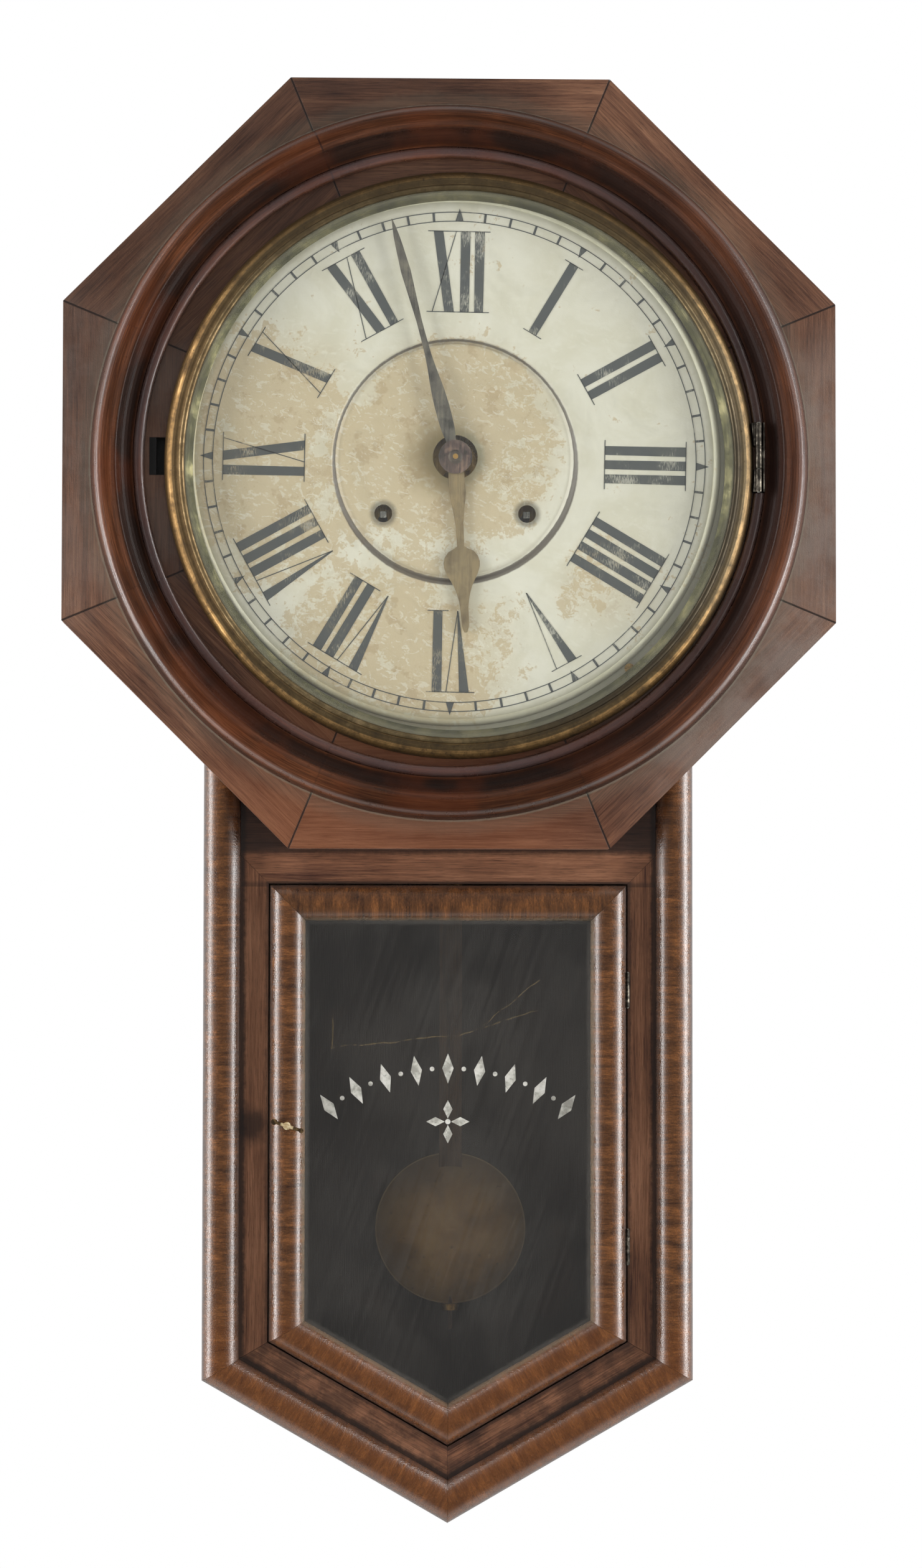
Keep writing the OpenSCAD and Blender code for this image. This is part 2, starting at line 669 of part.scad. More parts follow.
module latch_handle() color(old_brass) face() at(latch_at) {
    shaft(spindle_r, door_back - 1.7, latch_front + 1);
    shaft(2.2, latch_front + 0.1, latch_front + 1.2);
    rotate(-18) translate([0, 0, latch_front + 1]) {
        box(-7.5, 8.4, -0.9, 0.9, 0, 1.3);
        translate([-7.5, 0, 0]) cylinder(r = 1.7, h = 1.3);
        translate([8.4, 0, 0]) cylinder(r = 1.4, h = 1.3);
        cylinder(r = 1.5, h = 2.2);
    }
}
module latch_tongue() color(old_brass) face() at(latch_at) difference() {
    union() {
        box(-2.6, 2.6, -17, 2, door_back - 1.6, door_back - 0.2);
        shaft(3, door_back - 1.6, door_back - 0.2);
    }
    shaft(spindle_r + seat / 2, door_back - cut, door_back);
}

// Teeth: flat flanks, with enough backlash to run freely at any phase
function teeth(n, m, phase) =
    let (pitch = 360 / n, r = m * n / 2, tip = r + addendum * m, root = r - dedendum * m)
    [for (i = [0:n - 1]) let (a = phase + pitch * i)
        each [polar(root, a - root_half * pitch), polar(tip, a - tip_half * pitch),
              polar(tip, a + tip_half * pitch), polar(root, a + root_half * pitch)]];

module pinion(n, m, z0, z1, phase) slab(z0, z1) polygon(teeth(n, m, phase));

module wheel(n, m, z0, t, phase, arms) {
    rim = m * n / 2 - dedendum * m - rim_w;
    difference() {
        slab(z0, z0 + t) polygon(teeth(n, m, phase));
        slab(z0 - cut, z0 + t + cut) difference() {
            circle(rim);
            circle(rim * 0.34);
            for (k = [0:arms - 1]) rotate(phase + k * 360 / arms)
                translate([0, -rim * 0.08]) square([rim * 1.1, rim * 0.16]);
        }
    }
}

// An arbor of radius r with a pivot in each plate
module arbor(r) {
    shaft(r, inner_z + 0.3, front_z - 0.3);
    shaft(pivot_r, block_front, motion_z);
}

module centre_wheel() color(brass) face() at(hands) {
    shaft(arbor_r, inner_z + 0.3, nut_z + nut_h);
    shaft(pivot_r, block_front, inner_z + 1);
    wheel(centre_n, centre_m, centre_z, wheel_t, bearing(hands, third) + 180 / centre_n, 5);
    pinion(centre_pinion_n, second_m, second_z - 1, second_z + 2, bearing(hands, time_second));
    pinion(cannon_n, cannon_m, motion_z + 1.6, motion_z + 4, bearing(hands, motion));
}

module time_second_wheel() color(brass) face() at(time_second) {
    arbor(arbor_r);
    wheel(second_n, second_m, second_z, wheel_t, bearing(time_second, hands) + 180 / second_n, 4);
    pinion(second_pinion_n, great_m, great_z - 1, second_z - 0.6, bearing(time_second, time_wind));
}

module third_wheel() color(brass) face() at(third) {
    arbor(arbor_r);
    wheel(third_n, third_m, third_z, wheel_t, bearing(third, escape) + 180 / third_n, 4);
    pinion(third_pinion_n, centre_m, centre_z - 1.2, centre_z + 2.4, bearing(third, hands));
}

function escape_teeth() = [for (i = [0:escape_n - 1]) let (a = 360 / escape_n * i)
    each [polar(escape_r - 3.2, a - 5), polar(escape_r, a), polar(escape_r, a + 1),
          polar(escape_r - 3.2, a + 4)]];
module escape_wheel() color(brass) face() at(escape) {
    arbor(fine_arbor_r);
    difference() {
        slab(escape_z, escape_z + 1) polygon(escape_teeth());
        slab(escape_z - cut, escape_z + cut) difference() {
            circle(escape_r - 5.4);
            circle(3.2);
            for (k = [0:3]) rotate(90 * k) translate([0, -0.9]) square([escape_r, 1.8]);
        }
    }
    pinion(escape_pinion_n, third_m, third_z - 1.2, third_z + 2.4, bearing(escape, third));
}

module great_wheel(at_p, to_p) at(at_p) difference() {
    union() {
        wheel(great_n, great_m, great_z, great_t, bearing(at_p, to_p) + 180 / great_n, 5);
        shaft(ratchet_r + 6.4, great_z, great_z + great_t);
    }
    shaft(wind_r + run, great_z - cut, great_z + cut);
}
module time_great_wheel() color(brass) face() great_wheel(time_wind, time_second);
module strike_great_wheel() color(brass) face() great_wheel(strike_wind, strike_second);

// Winding arbor: spring core, ratchet, front pivot and winding square
module winding_arbor() {
    shaft(core_r, inner_z + 0.3, great_z - 2);
    shaft(pivot_r * 2, block_front, inner_z + 1);
    shaft(wind_r, great_z - 3, motion_z + 2);
    translate([0, 0, motion_z + 1]) slab(0, square_end - motion_z - 1)
        plate_2d(square_w, square_w);
    slab(great_z - 2, great_z - 0.4) polygon([for (i = [0:ratchet_n - 1])
        let (a = 360 / ratchet_n * i) each [polar(ratchet_r, a), polar(ratchet_r - 1.6, a + 2)]]);
}
module time_winding_arbor() color(steel) face() at(time_wind) winding_arbor();
module strike_winding_arbor() color(steel) face() at(strike_wind) winding_arbor();

// Click: its nose stands in a ratchet tooth, its foot is riveted to the great wheel
module click_lever() {
    slab(great_z - 1.9, great_z - 0.5) polygon([
        polar(ratchet_r - 0.9, 9), polar(ratchet_r + 0.7, 14), polar(ratchet_r + 3, 40),
        polar(ratchet_r + 4.6, 60), polar(ratchet_r + 5.4, 46), polar(ratchet_r + 3.2, 18),
        polar(ratchet_r + 0.9, 5)]);
    at(polar(ratchet_r + 4.2, 48)) shaft(1.3, great_z - 2.1, great_z);
}
module time_click() color(steel) face() at(time_wind) click_lever();
module strike_click() color(steel) face() at(strike_wind) click_lever();

// Mainspring: a flat spiral strip, its outer end led to the corner pillar
module mainspring(tail) slab(spring_z, spring_z + spring_w) polygon(
    let (n = spring_turns * 24, r0 = core_r + core_gap, turn = 360 / 24,
         r = function (i) r0 + (spring_r - r0) * i / n)
    concat([for (i = [0:n]) polar(r(i) + strip_t, tail + (i - n) * turn)],
           [for (i = [n:-1:0]) polar(r(i), tail + (i - n) * turn)]));
module time_mainspring() color(blued) face() at(time_wind)
    mainspring(bearing(time_wind, pillar_at(1, 0)));
module strike_mainspring() color(blued) face() at(strike_wind)
    mainspring(bearing(strike_wind, pillar_at(-1, 0)));

module movement_pillars() color(brass) face() for (s = [-1, 1]) for (k = [0, 1])
    at(pillar_at(s, k)) {
        shaft(pillar_r, inner_z, front_z);
        shaft(pillar_r / 2, block_front, motion_z + 2.4);
    }

// Holes for every arbor, and the windows of the skeletonised plates
module plate_outline() {
    at(hands) translate([-plate_w / 2, -plate_low]) square([plate_w, plate_low + plate_high]);
}
module plate_windows(z) at(hands) {
    slab(z - cut, z + cut) translate([0, -plate_low + window_in]) plate_2d(22, 6);
    for (s = [-1, 1]) slab(z - cut, z + cut)
        translate([s * (plate_w / 2 - window_in - 2), window_h / 2 + 2]) plate_2d(12, window_h);
    slab(z - cut, z + cut) translate([0, -hammer_drop / 2]) plate_2d(28, 12);
}
module pivot_holes(z) {
    for (p = [time_second, third, escape, strike_second, strike_third])
        at(p) shaft(pivot_r + run, z - cut, z + cut);
    for (s = [-1, 1]) for (k = [0, 1])
        at(pillar_at(s, k)) shaft(pillar_r / 2 + seat, z - cut, z + cut);
}

module back_plate() color(brass) face() difference() {
    slab(block_front, inner_z) plate_outline();
    plate_windows(block_front);
    pivot_holes(block_front);
    at(hands) shaft(pivot_r + run, block_front - cut, block_front + cut);
    for (p = [anchor_at, hammer_at]) at(p)
        shaft(arbor_r + run, block_front - cut, block_front + cut);
    for (p = [time_wind, strike_wind]) at(p) shaft(pivot_r * 2 + run, block_front - cut,
                                                   block_front + cut);
    for (p = foot_screws) at(p) shaft(screw_r + seat, block_front - cut, inner_z + cut);
}

module front_plate() color(brass) face() {
    difference() {
        slab(front_z, motion_z) plate_outline();
        plate_windows(front_z);
        pivot_holes(front_z);
        at(hands) shaft(arbor_r + run, front_z - cut, front_z + cut);
        for (p = [anchor_at, hammer_at]) at(p) shaft(pivot_r + run, front_z - cut, front_z + cut);
        for (p = [time_wind, strike_wind]) at(p) shaft(wind_r + run, front_z - cut,
                                                       front_z + cut);
        for (p = foot_screws) at(p) shaft(key_r, front_z - cut, motion_z + cut);
    }
    at(motion) shaft(stud_r, motion_z - 0.2, motion_z + 9);
}

module minute_wheel() color(brass) face() at(motion) difference() {
    union() {
        wheel(minute_n, cannon_m, motion_z + 2, wheel_t, bearing(motion, hands) + 180 / minute_n, 4);
        pinion(minute_pinion_n, hour_m, motion_z + 3, motion_z + 7.6, bearing(motion, hands));
        shaft(2.4, motion_z + 0.2, motion_z + 3);
    }
    shaft(stud_r + run, motion_z - cut, motion_z + 12);
}

module hour_wheel() color(brass) face() at(hands) difference() {
    union() {
        wheel(hour_n, hour_m, motion_z + 5.4, wheel_t, bearing(hands, motion) + 180 / hour_n, 4);
        shaft(pipe_r, motion_z + 5.4, hour_z + hand_t);
    }
    shaft(pipe_in, motion_z, hour_z + cut);
}

// Half outlines of the hands: distance from the arbor as a share of the length, half width
minute_shape = [[0.05, 2.5], [0.08, 3.1], [0.115, 3.8], [0.16, 4.1], [0.215, 4.1], [0.27, 3.8],
                [0.32, 3.2], [0.37, 2.4], [0.43, 1.8], [0.50, 1.6], [0.57, 1.55], [0.63, 1.9],
                [0.68, 2.2], [0.73, 2.5], [0.78, 2.8], [0.835, 2.4], [0.885, 2.1], [0.93, 1.6],
                [0.965, 0.95], [1, 0.2]];
hour_shape = [[0.06, 4.2], [0.12, 4.5], [0.205, 4.65], [0.25, 4.1], [0.30, 3.2], [0.38, 2.3],
              [0.46, 2.1], [0.51, 2.0], [0.525, 4.2], [0.54, 7.2], [0.57, 9.4], [0.60, 10.2],
              [0.63, 10], [0.67, 8.6], [0.70, 7.0], [0.74, 5.0], [0.78, 3.7], [0.82, 2.8],
              [0.86, 2.3], [0.92, 2.2], [0.965, 2.0], [0.985, 1.4], [1, 0.8]];
module hand_blade(shape, len) polygon(concat(
    [for (p = shape) [p[1], p[0] * len]],
    [for (i = [len(shape) - 1:-1:0]) [-shape[i][1], shape[i][0] * len]]));

module hour_hand() color(old_brass) face() at(hands) difference() {
    slab(hour_z, hour_z + hand_t) union() {
        rotate(-hour_rest) hand_blade(hour_shape, hour_len);
        circle(hour_hub_r);
    }
    shaft(pipe_r + seat / 2, hour_z - cut, hour_z + cut);
}
module minute_hand() color(old_brass) face() at(hands) difference() {
    slab(minute_z, nut_z) union() {
        rotate(-minute_rest) hand_blade(minute_shape, minute_len);
        circle(minute_hub_r);
    }
    shaft(arbor_r + seat / 2, minute_z - cut, nut_z + cut);
}
module hand_nut() color(old_brass) face() at(hands) difference() {
    translate([0, 0, nut_z]) cylinder(r1 = hand_nut_r, r2 = 0.7 * hand_nut_r, h = nut_h);
    shaft(arbor_r + seat / 2, nut_z - cut, nut_z + cut);
}

// Anchor: a bent strip whose two pallets straddle the escape wheel
module anchor() color(steel) face() at(anchor_at) {
    shaft(arbor_r, crutch_z, front_z - 0.3);
    shaft(pivot_r, front_z - 1, motion_z);
    slab(escape_z - 1, escape_z + 2) {
        circle(3);
        for (s = [-1, 1]) rotate(-90 + s * 50) translate([0, -1.3]) square([14, 2.6]);
    }
}
module crutch() color(steel) face() at(anchor_at) difference() {
    union() {
        shaft(3, crutch_z, crutch_z + 1.6);
        box(-1.5, 1.5, -crutch_len, 0, crutch_z, crutch_z + 1.6);
        box(-3.2, 3.2, -crutch_len - 1, -crutch_len + 1, pendulum_z - 3, crutch_z + 1.6);
    }
    shaft(arbor_r + seat / 2, crutch_z - cut, crutch_z + cut);
    box(-wire_r - 0.4, wire_r + 0.4, -crutch_len - cut, -crutch_len + cut,
        pendulum_z - 3 - cut, crutch_z);
}

// Suspension: a spring held in a slotted cock, with its cross pin on top of the jaws
module suspension_cock() color(brass) face() at(anchor_at) difference() {
    union() {
        box(-7, 7, 3.4, 9.4, pendulum_z - 4, block_front);
        box(-7, 7, 9, 14, block_front - 1.6, block_front);
    }
    box(-ribbon_gap, ribbon_gap, 0, 12, pendulum_z - 4 - cut, pendulum_z + 3.6);
}
module suspension_spring() color(steel) face() at(anchor_at) {
    box(-0.15, 0.15, -14, 12, pendulum_z - ribbon_w, pendulum_z + ribbon_w);
    box(-3, 3, 9.8, 11.8, pendulum_z - 1.4, pendulum_z + 1.4);
    box(-2.4, 2.4, -20, -13, pendulum_z - ribbon_w, pendulum_z + ribbon_w);
    translate([0, 0, pendulum_z]) upright(wire_r, -rod_top - 5, -19);
}
module pendulum_rod() color(wood) face() at(anchor_at) {
    difference() {
        box(-rod_w / 2, rod_w / 2, -pendulum_len - rod_tail, -rod_top, pendulum_z - rod_t / 2,
            pendulum_z + rod_t / 2);
        translate([0, 0, pendulum_z]) upright(wire_r + seat, -rod_top - 6, -rod_top + cut);
    }
    translate([0, 0, pendulum_z])
        upright(wire_r, -pendulum_len - bob_r - thread_tail, -pendulum_len - rod_tail + 1);
}
module pendulum_bob() color(brass) face() at(bob_at) translate([0, 0, pendulum_z]) difference() {
    cap = (bob_r * bob_r + bob_t * bob_t / 4) / bob_t;
    intersection() {
        translate([0, 0, cap - bob_t / 2]) sphere(cap, $fn = 240);
        translate([0, 0, bob_t / 2 - cap]) sphere(cap, $fn = 240);
        cylinder(r = bob_r - 0.6, h = bob_t, center = true);
    }
    box(-rod_w / 2 - 0.1, rod_w / 2 + 0.1, -rod_tail - 0.2, bob_r + cut,
        -rod_t / 2 - 0.1, rod_t / 2 + 0.1);
    upright(wire_r + seat, -bob_r - cut, -rod_tail + 1);
}
module rating_nut() color(brass) face() at(bob_at) translate([0, -bob_r + 0.5, pendulum_z])
    rotate([90, 0, 0]) difference() {
        cylinder(r = 5, h = 3.6, $fn = 48);
        translate([0, 0, -cut]) cylinder(r = wire_r + seat, h = 12);
    }

// Count wheel: one deep notch after each hour's run of blows
module count_wheel() color(brass) face() at(strike_wind) difference() {
    slab(great_z + great_t, great_z + great_t + 1) circle(21);
    for (k = [1:count_notches]) rotate(360 * k * (k + 1) / 2 / 78)
        box(19.2, 24, -0.6, 0.6, great_z, great_z + 5);
    for (k = [0:2]) rotate(120 * k) translate([12, 0, 0]) shaft(4.5, great_z, great_z + 5);
    shaft(wind_r + run, great_z, great_z + 5);
}
module strike_second_wheel() color(brass) face() at(strike_second) {
    arbor(arbor_r);
    wheel(strike_second_n, strike_second_m, second_z, wheel_t,
          bearing(strike_second, strike_third) + 180 / strike_second_n, 4);
    pinion(second_pinion_n, great_m, great_z - 1, second_z - 0.6,
           bearing(strike_second, strike_wind));
}
module strike_third_wheel() color(brass) face() at(strike_third) {
    arbor(arbor_r);
    wheel(strike_third_n, 0.45, third_z, wheel_t, 0, 4);
    pinion(strike_third_pinion_n, strike_second_m, second_z - 1.2, second_z + 2,
           bearing(strike_third, strike_second));
}

// Hammer: tail beside the second wheel, wire down to the head beside the gong
module strike_hammer() color(steel) face() at(hammer_at) {
    shaft(arbor_r, block_front - 4, front_z - 0.3);
    shaft(pivot_r, front_z - 1, motion_z);
    rotate(bearing(hammer_at, strike_second)) box(0, tail_len, -1, 1, second_z + 2, front_z - 0.4);
    drop = norm([head_x, head_y]);
    rotate(bearing([0, 0], [head_x, head_y])) {
        box(0, drop, -0.8, 0.8, block_front - 4, block_front - 2.4);
        box(drop - 1.6, drop, -0.8, 0.8, gong_z + 1, block_front - 2.4);
    }
    at([head_x, head_y]) shaft(4, gong_z - 2.6, gong_z + 5);
}
module gong_base() color(steel) face() at(gong_at) {
    shaft(14, back_t, gong_z - 0.4);
    shaft(4, back_t, gong_z + 5);
}
module gong_coil() color(blued) face() at(gong_at) slab(gong_z, gong_z + gong_wire) polygon(
    let (n = gong_turns * 36, r0 = 4.1, pitch = (gong_r - gong_wire - r0) / n)
    concat([for (i = [0:n]) polar(r0 + gong_wire + pitch * i, 10 * i)],
           [for (i = [n:-1:0]) polar(r0 + pitch * i, 10 * i)]));

backboard();
left_side_board();
right_side_board();
top_board();
lower_boards();
front_panel();
trunk_side_mouldings();
trunk_lower_mouldings();
octagon_frame();
ring_moulding();
hanger_plate();
movement_blocks();
case_screws();
dial_pan();
fixed_hinge_leaves();
hinge_pins();
back_plate();
front_plate();
movement_pillars();
suspension_cock();
time_mainspring();
strike_mainspring();
gong_base();
gong_coil();
bezel_ring();
bezel_glass();
sight_ring();
bezel_hinge_leaf();
door_stiles();
door_rails();
door_glass();
glazing_strips();
door_hinge_leaves();
latch_handle();
latch_tongue();
centre_wheel();
minute_hand();
hand_nut();
hour_wheel();
hour_hand();
minute_wheel();
time_great_wheel();
time_click();
time_winding_arbor();
time_second_wheel();
third_wheel();
escape_wheel();
anchor();
crutch();
suspension_spring();
pendulum_rod();
pendulum_bob();
rating_nut();
strike_great_wheel();
strike_click();
count_wheel();
strike_winding_arbor();
strike_second_wheel();
strike_third_wheel();
strike_hammer();
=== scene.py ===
import bmesh
import bpy
import math
from mathutils import Matrix, Vector


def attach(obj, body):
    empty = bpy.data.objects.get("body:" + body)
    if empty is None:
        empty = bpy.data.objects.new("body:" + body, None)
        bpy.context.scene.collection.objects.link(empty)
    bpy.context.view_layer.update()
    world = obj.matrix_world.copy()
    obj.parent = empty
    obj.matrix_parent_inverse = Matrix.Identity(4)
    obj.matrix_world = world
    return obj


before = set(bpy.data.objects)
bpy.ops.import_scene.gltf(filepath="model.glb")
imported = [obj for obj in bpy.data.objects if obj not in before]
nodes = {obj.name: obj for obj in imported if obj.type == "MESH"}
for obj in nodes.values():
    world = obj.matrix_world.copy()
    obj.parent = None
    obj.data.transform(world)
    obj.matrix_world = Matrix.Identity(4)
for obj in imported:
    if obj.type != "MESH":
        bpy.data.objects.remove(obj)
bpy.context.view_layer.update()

# Sizes and places in millimetres, as in the CAD source
MM = 0.001
HEAD = (0.0, 0.0)
HANDS = (3.0, 2.5)
DIAL = (2.6, 1.0)
BEZEL = (5.2, -2.0)
TRUNK_HALF = 138.0
V_ANGLE = math.radians(30)
APEX = -595.5
MOULD_W = 20.7
DOOR_W = 20.0
DOOR_HALF = 100.5
DOOR_TOP = -237.7
RING_R = 201.8
TIME_SQUARE = (43.4, -29.3)
STRIKE_SQUARE = (-37.4, -29.3)
LATCH = (-90.5, -373.0)
LATCH_SMUDGE = (-111.0, -373.0)
BOB = (3.0, -434.4)
# middle of the painted highlight on the bob
BOB_HIGHLIGHT = (6.0, -440.0)
CATCH_X = (-168.8, -158.5)
CATCH_Z = (-8.2, 13.2)
OCTAGON_FOOT = -217.5
BACKBOARD_FACE = -8.7
DOOR_INSET = TRUNK_HALF - DOOR_HALF

# Radii of the bands that the round pieces are coloured in
BEAD = (172.4, 177.4)
COVE = (179.0, 187.5)
COVE_POLISH = (177.8, 188.0)
RIM = (189.0, 192.0)
RIM_SHINE = (197.4, 199.4)
RIM_FOOT = (199.6, 200.6)
BEZEL_ROLL = (156.8, 158.0)
BEZEL_INNER = (157.0, 160.0)
BEZEL_HOLLOW = (157.6, 161.2)
BEZEL_EDGE = (164.9, 165.6)
PANE_RIM = (150.5, 153.5)
DIAL_RIM = (141.5, 147.5)
BOB_RIM = (42.2, 43.4)
# radii over which the bob's painted highlight gives way to painted shade
BOB_HIGHLIGHT_R = (10.0, 52.0)
HUB_R = (9.0, 10.2)
LATCH_BOSS = (3.2, 4.0)
KEY_HOLE_DIRT = (5.6, 9.0)

# Insets from the edges of the door's pane and of the mouldings
PANE_EDGE = (58.0, 61.0)
PANE_TOP_EDGE = (0.4, 3.4)
# the outer edge of each moulding is darkened with painted shade and dirt between these insets
OUTER_SHADE_AND_DIRT = (0.4, 2.6)

# Directions from the middle of the head, in radians, of the octagon's painted sheen, its painted shade and
# its warm foot
SHEEN_AT = -0.35
SHADE_AT = 2.2
WARM_AT = -1.7


class Graph:
    """A material's node tree, built by small calls that return sockets."""

    def __init__(self, name):
        self.material = bpy.data.materials.new(name)
        self.material.use_nodes = True
        self.tree = self.material.node_tree
        self.tree.nodes.clear()
        place = self.add("ShaderNodeTexCoord").outputs["Object"]
        self.mm = self.scale(place, 1 / MM)
        parts = self.add("ShaderNodeSeparateXYZ")
        self.link(self.mm, parts.inputs[0])
        self.x, self.y, self.z = parts.outputs

    def add(self, kind, **settings):
        node = self.tree.nodes.new(kind)
        for key, value in settings.items():
            setattr(node, key, value)
        return node

    def link(self, value, socket):
        if isinstance(value, bpy.types.NodeSocket):
            self.tree.links.new(value, socket)
        else:
            socket.default_value = value

    def math(self, operation, *values, clamp=False):
        node = self.add("ShaderNodeMath", operation=operation, use_clamp=clamp)
        for value, socket in zip(values, node.inputs):
            self.link(value, socket)
        return node.outputs[0]

    def plus(self, a, b, clamp=False):
        return self.math("ADD", a, b, clamp=clamp)

    def minus(self, a, b, clamp=False):
        return self.math("SUBTRACT", a, b, clamp=clamp)

    def times(self, a, b):
        return self.math("MULTIPLY", a, b)

    def most(self, a, b):
        return self.math("MAXIMUM", a, b)

    def cos(self, angle):
        return self.math("COSINE", angle)

    def sin(self, angle):
        return self.math("SINE", angle)

    def scale(self, vector, factor):
        node = self.add("ShaderNodeVectorMath", operation="SCALE")
        self.link(vector, node.inputs[0])
        self.link(factor, node.inputs["Scale"])
        return node.outputs[0]

    def vector(self, x, y, z):
        node = self.add("ShaderNodeCombineXYZ")
        for value, socket in zip((x, y, z), node.inputs):
            self.link(value, socket)
        return node.outputs[0]

    def noise(self, vector, scale, detail=3.0, rough=0.55, bend=0.0):
        node = self.add("ShaderNodeTexNoise")
        self.link(vector, node.inputs["Vector"])
        for key, value in (("Scale", scale), ("Detail", detail), ("Roughness", rough), ("Distortion", bend)):
            node.inputs[key].default_value = value
        return node.outputs["Fac"]

    def cells(self, vector):
        """Distance to the edges of a pattern of cells one unit wide."""
        node = self.add("ShaderNodeTexVoronoi", feature="DISTANCE_TO_EDGE")
        self.link(vector, node.inputs["Vector"])
        node.inputs["Scale"].default_value = 1.0
        return node.outputs["Distance"]

    def span(self, value, low, high, to_low=0.0, to_high=1.0, smooth=True):
        node = self.add("ShaderNodeMapRange", clamp=True)
        node.interpolation_type = "SMOOTHSTEP" if smooth else "LINEAR"
        for v, socket in zip((value, low, high, to_low, to_high), node.inputs):
            self.link(v, socket)
        return node.outputs["Result"]

    def ramp(self, value, colours):
        """Three colours, from dark to light, at 0, 0.5 and 1."""
        node = self.add("ShaderNodeValToRGB")
        self.link(value, node.inputs[0])
        points = node.color_ramp.elements
        points.new(0.5)
        for point, place, colour in zip(points, (0.0, 0.5, 1.0), colours):
            point.position = place
            point.color = (*colour, 1.0)
        return node.outputs["Color"]

    def tones(self, value, low, high, colours, smooth=False):
        """Three colours, from dark to light, over a span of the value."""
        return self.ramp(self.span(value, low, high, smooth=smooth), colours)

    def mix(self, factor, a, b):
        node = self.add("ShaderNodeMix", data_type="RGBA")
        self.link(factor, node.inputs[0])
        for value, socket in ((a, node.inputs[6]), (b, node.inputs[7])):
            self.link(value if isinstance(value, bpy.types.NodeSocket) else (*value, 1.0), socket)
        return node.outputs[2]

    def bump(self, height, depth, strength=1.0):
        node = self.add("ShaderNodeBump")
        node.inputs["Strength"].default_value = strength
        node.inputs["Distance"].default_value = depth * MM
        self.link(height, node.inputs["Height"])
        return node.outputs["Normal"]

    def surface(self, **inputs):
        node = self.add("ShaderNodeBsdfPrincipled")
        for key, value in inputs.items():
            value = (*value, 1.0) if isinstance(value, tuple) and len(value) == 3 else value
            self.link(value, node.inputs[key.replace("_", " ")])
        return node.outputs[0]

    def finish(self, shader):
        self.link(shader, self.add("ShaderNodeOutputMaterial").inputs["Surface"])
        return self.material

    def radius(self, centre):
        dx = self.minus(self.x, centre[0])
        dz = self.minus(self.z, centre[1])
        return self.math("SQRT", self.plus(self.times(dx, dx), self.times(dz, dz)))

    def angle(self, centre):
        dx = self.minus(self.x, centre[0])
        dz = self.minus(self.z, centre[1])
        return self.math("ARCTAN2", dz, dx)


def rgb(text):
    """A linear colour from its sRGB hex name."""
    parts = [int(text[i:i + 2], 16) / 255 for i in (0, 2, 4)]
    return tuple(c / 12.92 if c <= 0.04045 else ((c + 0.055) / 1.055) ** 2.4 for c in parts)


def three(*names):
    """Three tones by their hex names, dark to light."""
    return tuple(rgb(name) for name in names)


def dress(material, *names):
    for name in names:
        mesh = nodes[name].data
        mesh.materials.clear()
        mesh.materials.append(material)


# Wood
SECTOR = math.radians(45)
RING_MEAN_R = 190.0
BOARD_STEP = 137.0
PANEL_TOP = -200.2
MAHOGANY = three("33201a", "6a4938", "8f6850")
RING_WOOD = three("20120b", "472a1b", "6f432b")
VENEER = three("23140d", "55361f", "85552f")
PANEL_WOOD = three("3b211a", "7e563f", "a5765a")
# grey of the octagon's painted sheen, a reflection of the side lights
SHEEN = rgb("857870")
# dark tone for pores, joints and dirt, and for painted shade in hollows, creases and corners
GRIME_AND_SHADE = rgb("1d1614")
DUST = rgb("8f8d7e")
# near black painted in the catch's slot, as its shade
SLOT_SHADE = rgb("0b0a09")
WARM_VENEER = rgb("6e3c18")
WARM_BOARD = rgb("7c4626")
# purple-grey of the painted sheen on the ring's bead
BEAD_SHEEN = rgb("6a5b5e")
PLUM = rgb("33231f")
RUST = rgb("5f2f19")
# near black painted on the backboard inside the case, as its shade
INSIDE_SHADE = rgb("1c1612")

# Darkening at the inner edge of a moulding, painted shade and dirt on the trunk and pale dust on the door:
# the insets it lies between, its strength and its tone
TRUNK_EDGE = (MOULD_W - 5.5, MOULD_W - 1.0, 0.35, GRIME_AND_SHADE)
DOOR_EDGE = (DOOR_W - 2.4, DOOR_W - 0.6, 0.30, DUST)


def add_up(g, *values):
    """Sum of any number of values."""
    total = values[0]
    for value in values[1:]:
        total = g.plus(total, value)
    return total


def weighed(g, *pairs):
    """Sum of values times their weights."""
    return add_up(g, *(g.times(value, weight) for value, weight in pairs))


def pick(g, mask, a, b):
    """The first value where the mask is 0 and the second where it is 1."""
    return g.math("MULTIPLY_ADD", g.minus(b, a), mask, a)


def stretched(g, along, across, depth, slow, fast):
    """A place for noise that runs out in lines along the first measure."""
    return g.vector(g.times(along, slow), g.times(across, fast), g.times(depth, fast))


def layered(g, colour, *layers):
    """A colour under layers of dirt, wear and painted light, each a mask with its tone."""
    for mask, tone in layers:
        colour = g.mix(mask, colour, tone)
    return colour


def toward(g, angle, at):
    """1 in a direction, 0 square to it and -1 away from it."""
    return g.cos(g.minus(angle, at))


def band(g, value, low, high, edge):
    """1 between two measures, with soft edges."""
    rise = g.span(value, low - edge, low + edge)
    fall = g.span(value, high - edge, high + edge, 1.0, 0.0)
    return g.times(rise, fall)


def ragged(g, value, amount, scale=0.35):
    """A measure made uneven by noise, for edges of dirt, wear and painted light."""
    shake = g.times(g.minus(g.noise(g.mm, scale, 4, 0.65), 0.5), 2 * amount)
    return g.plus(value, shake)


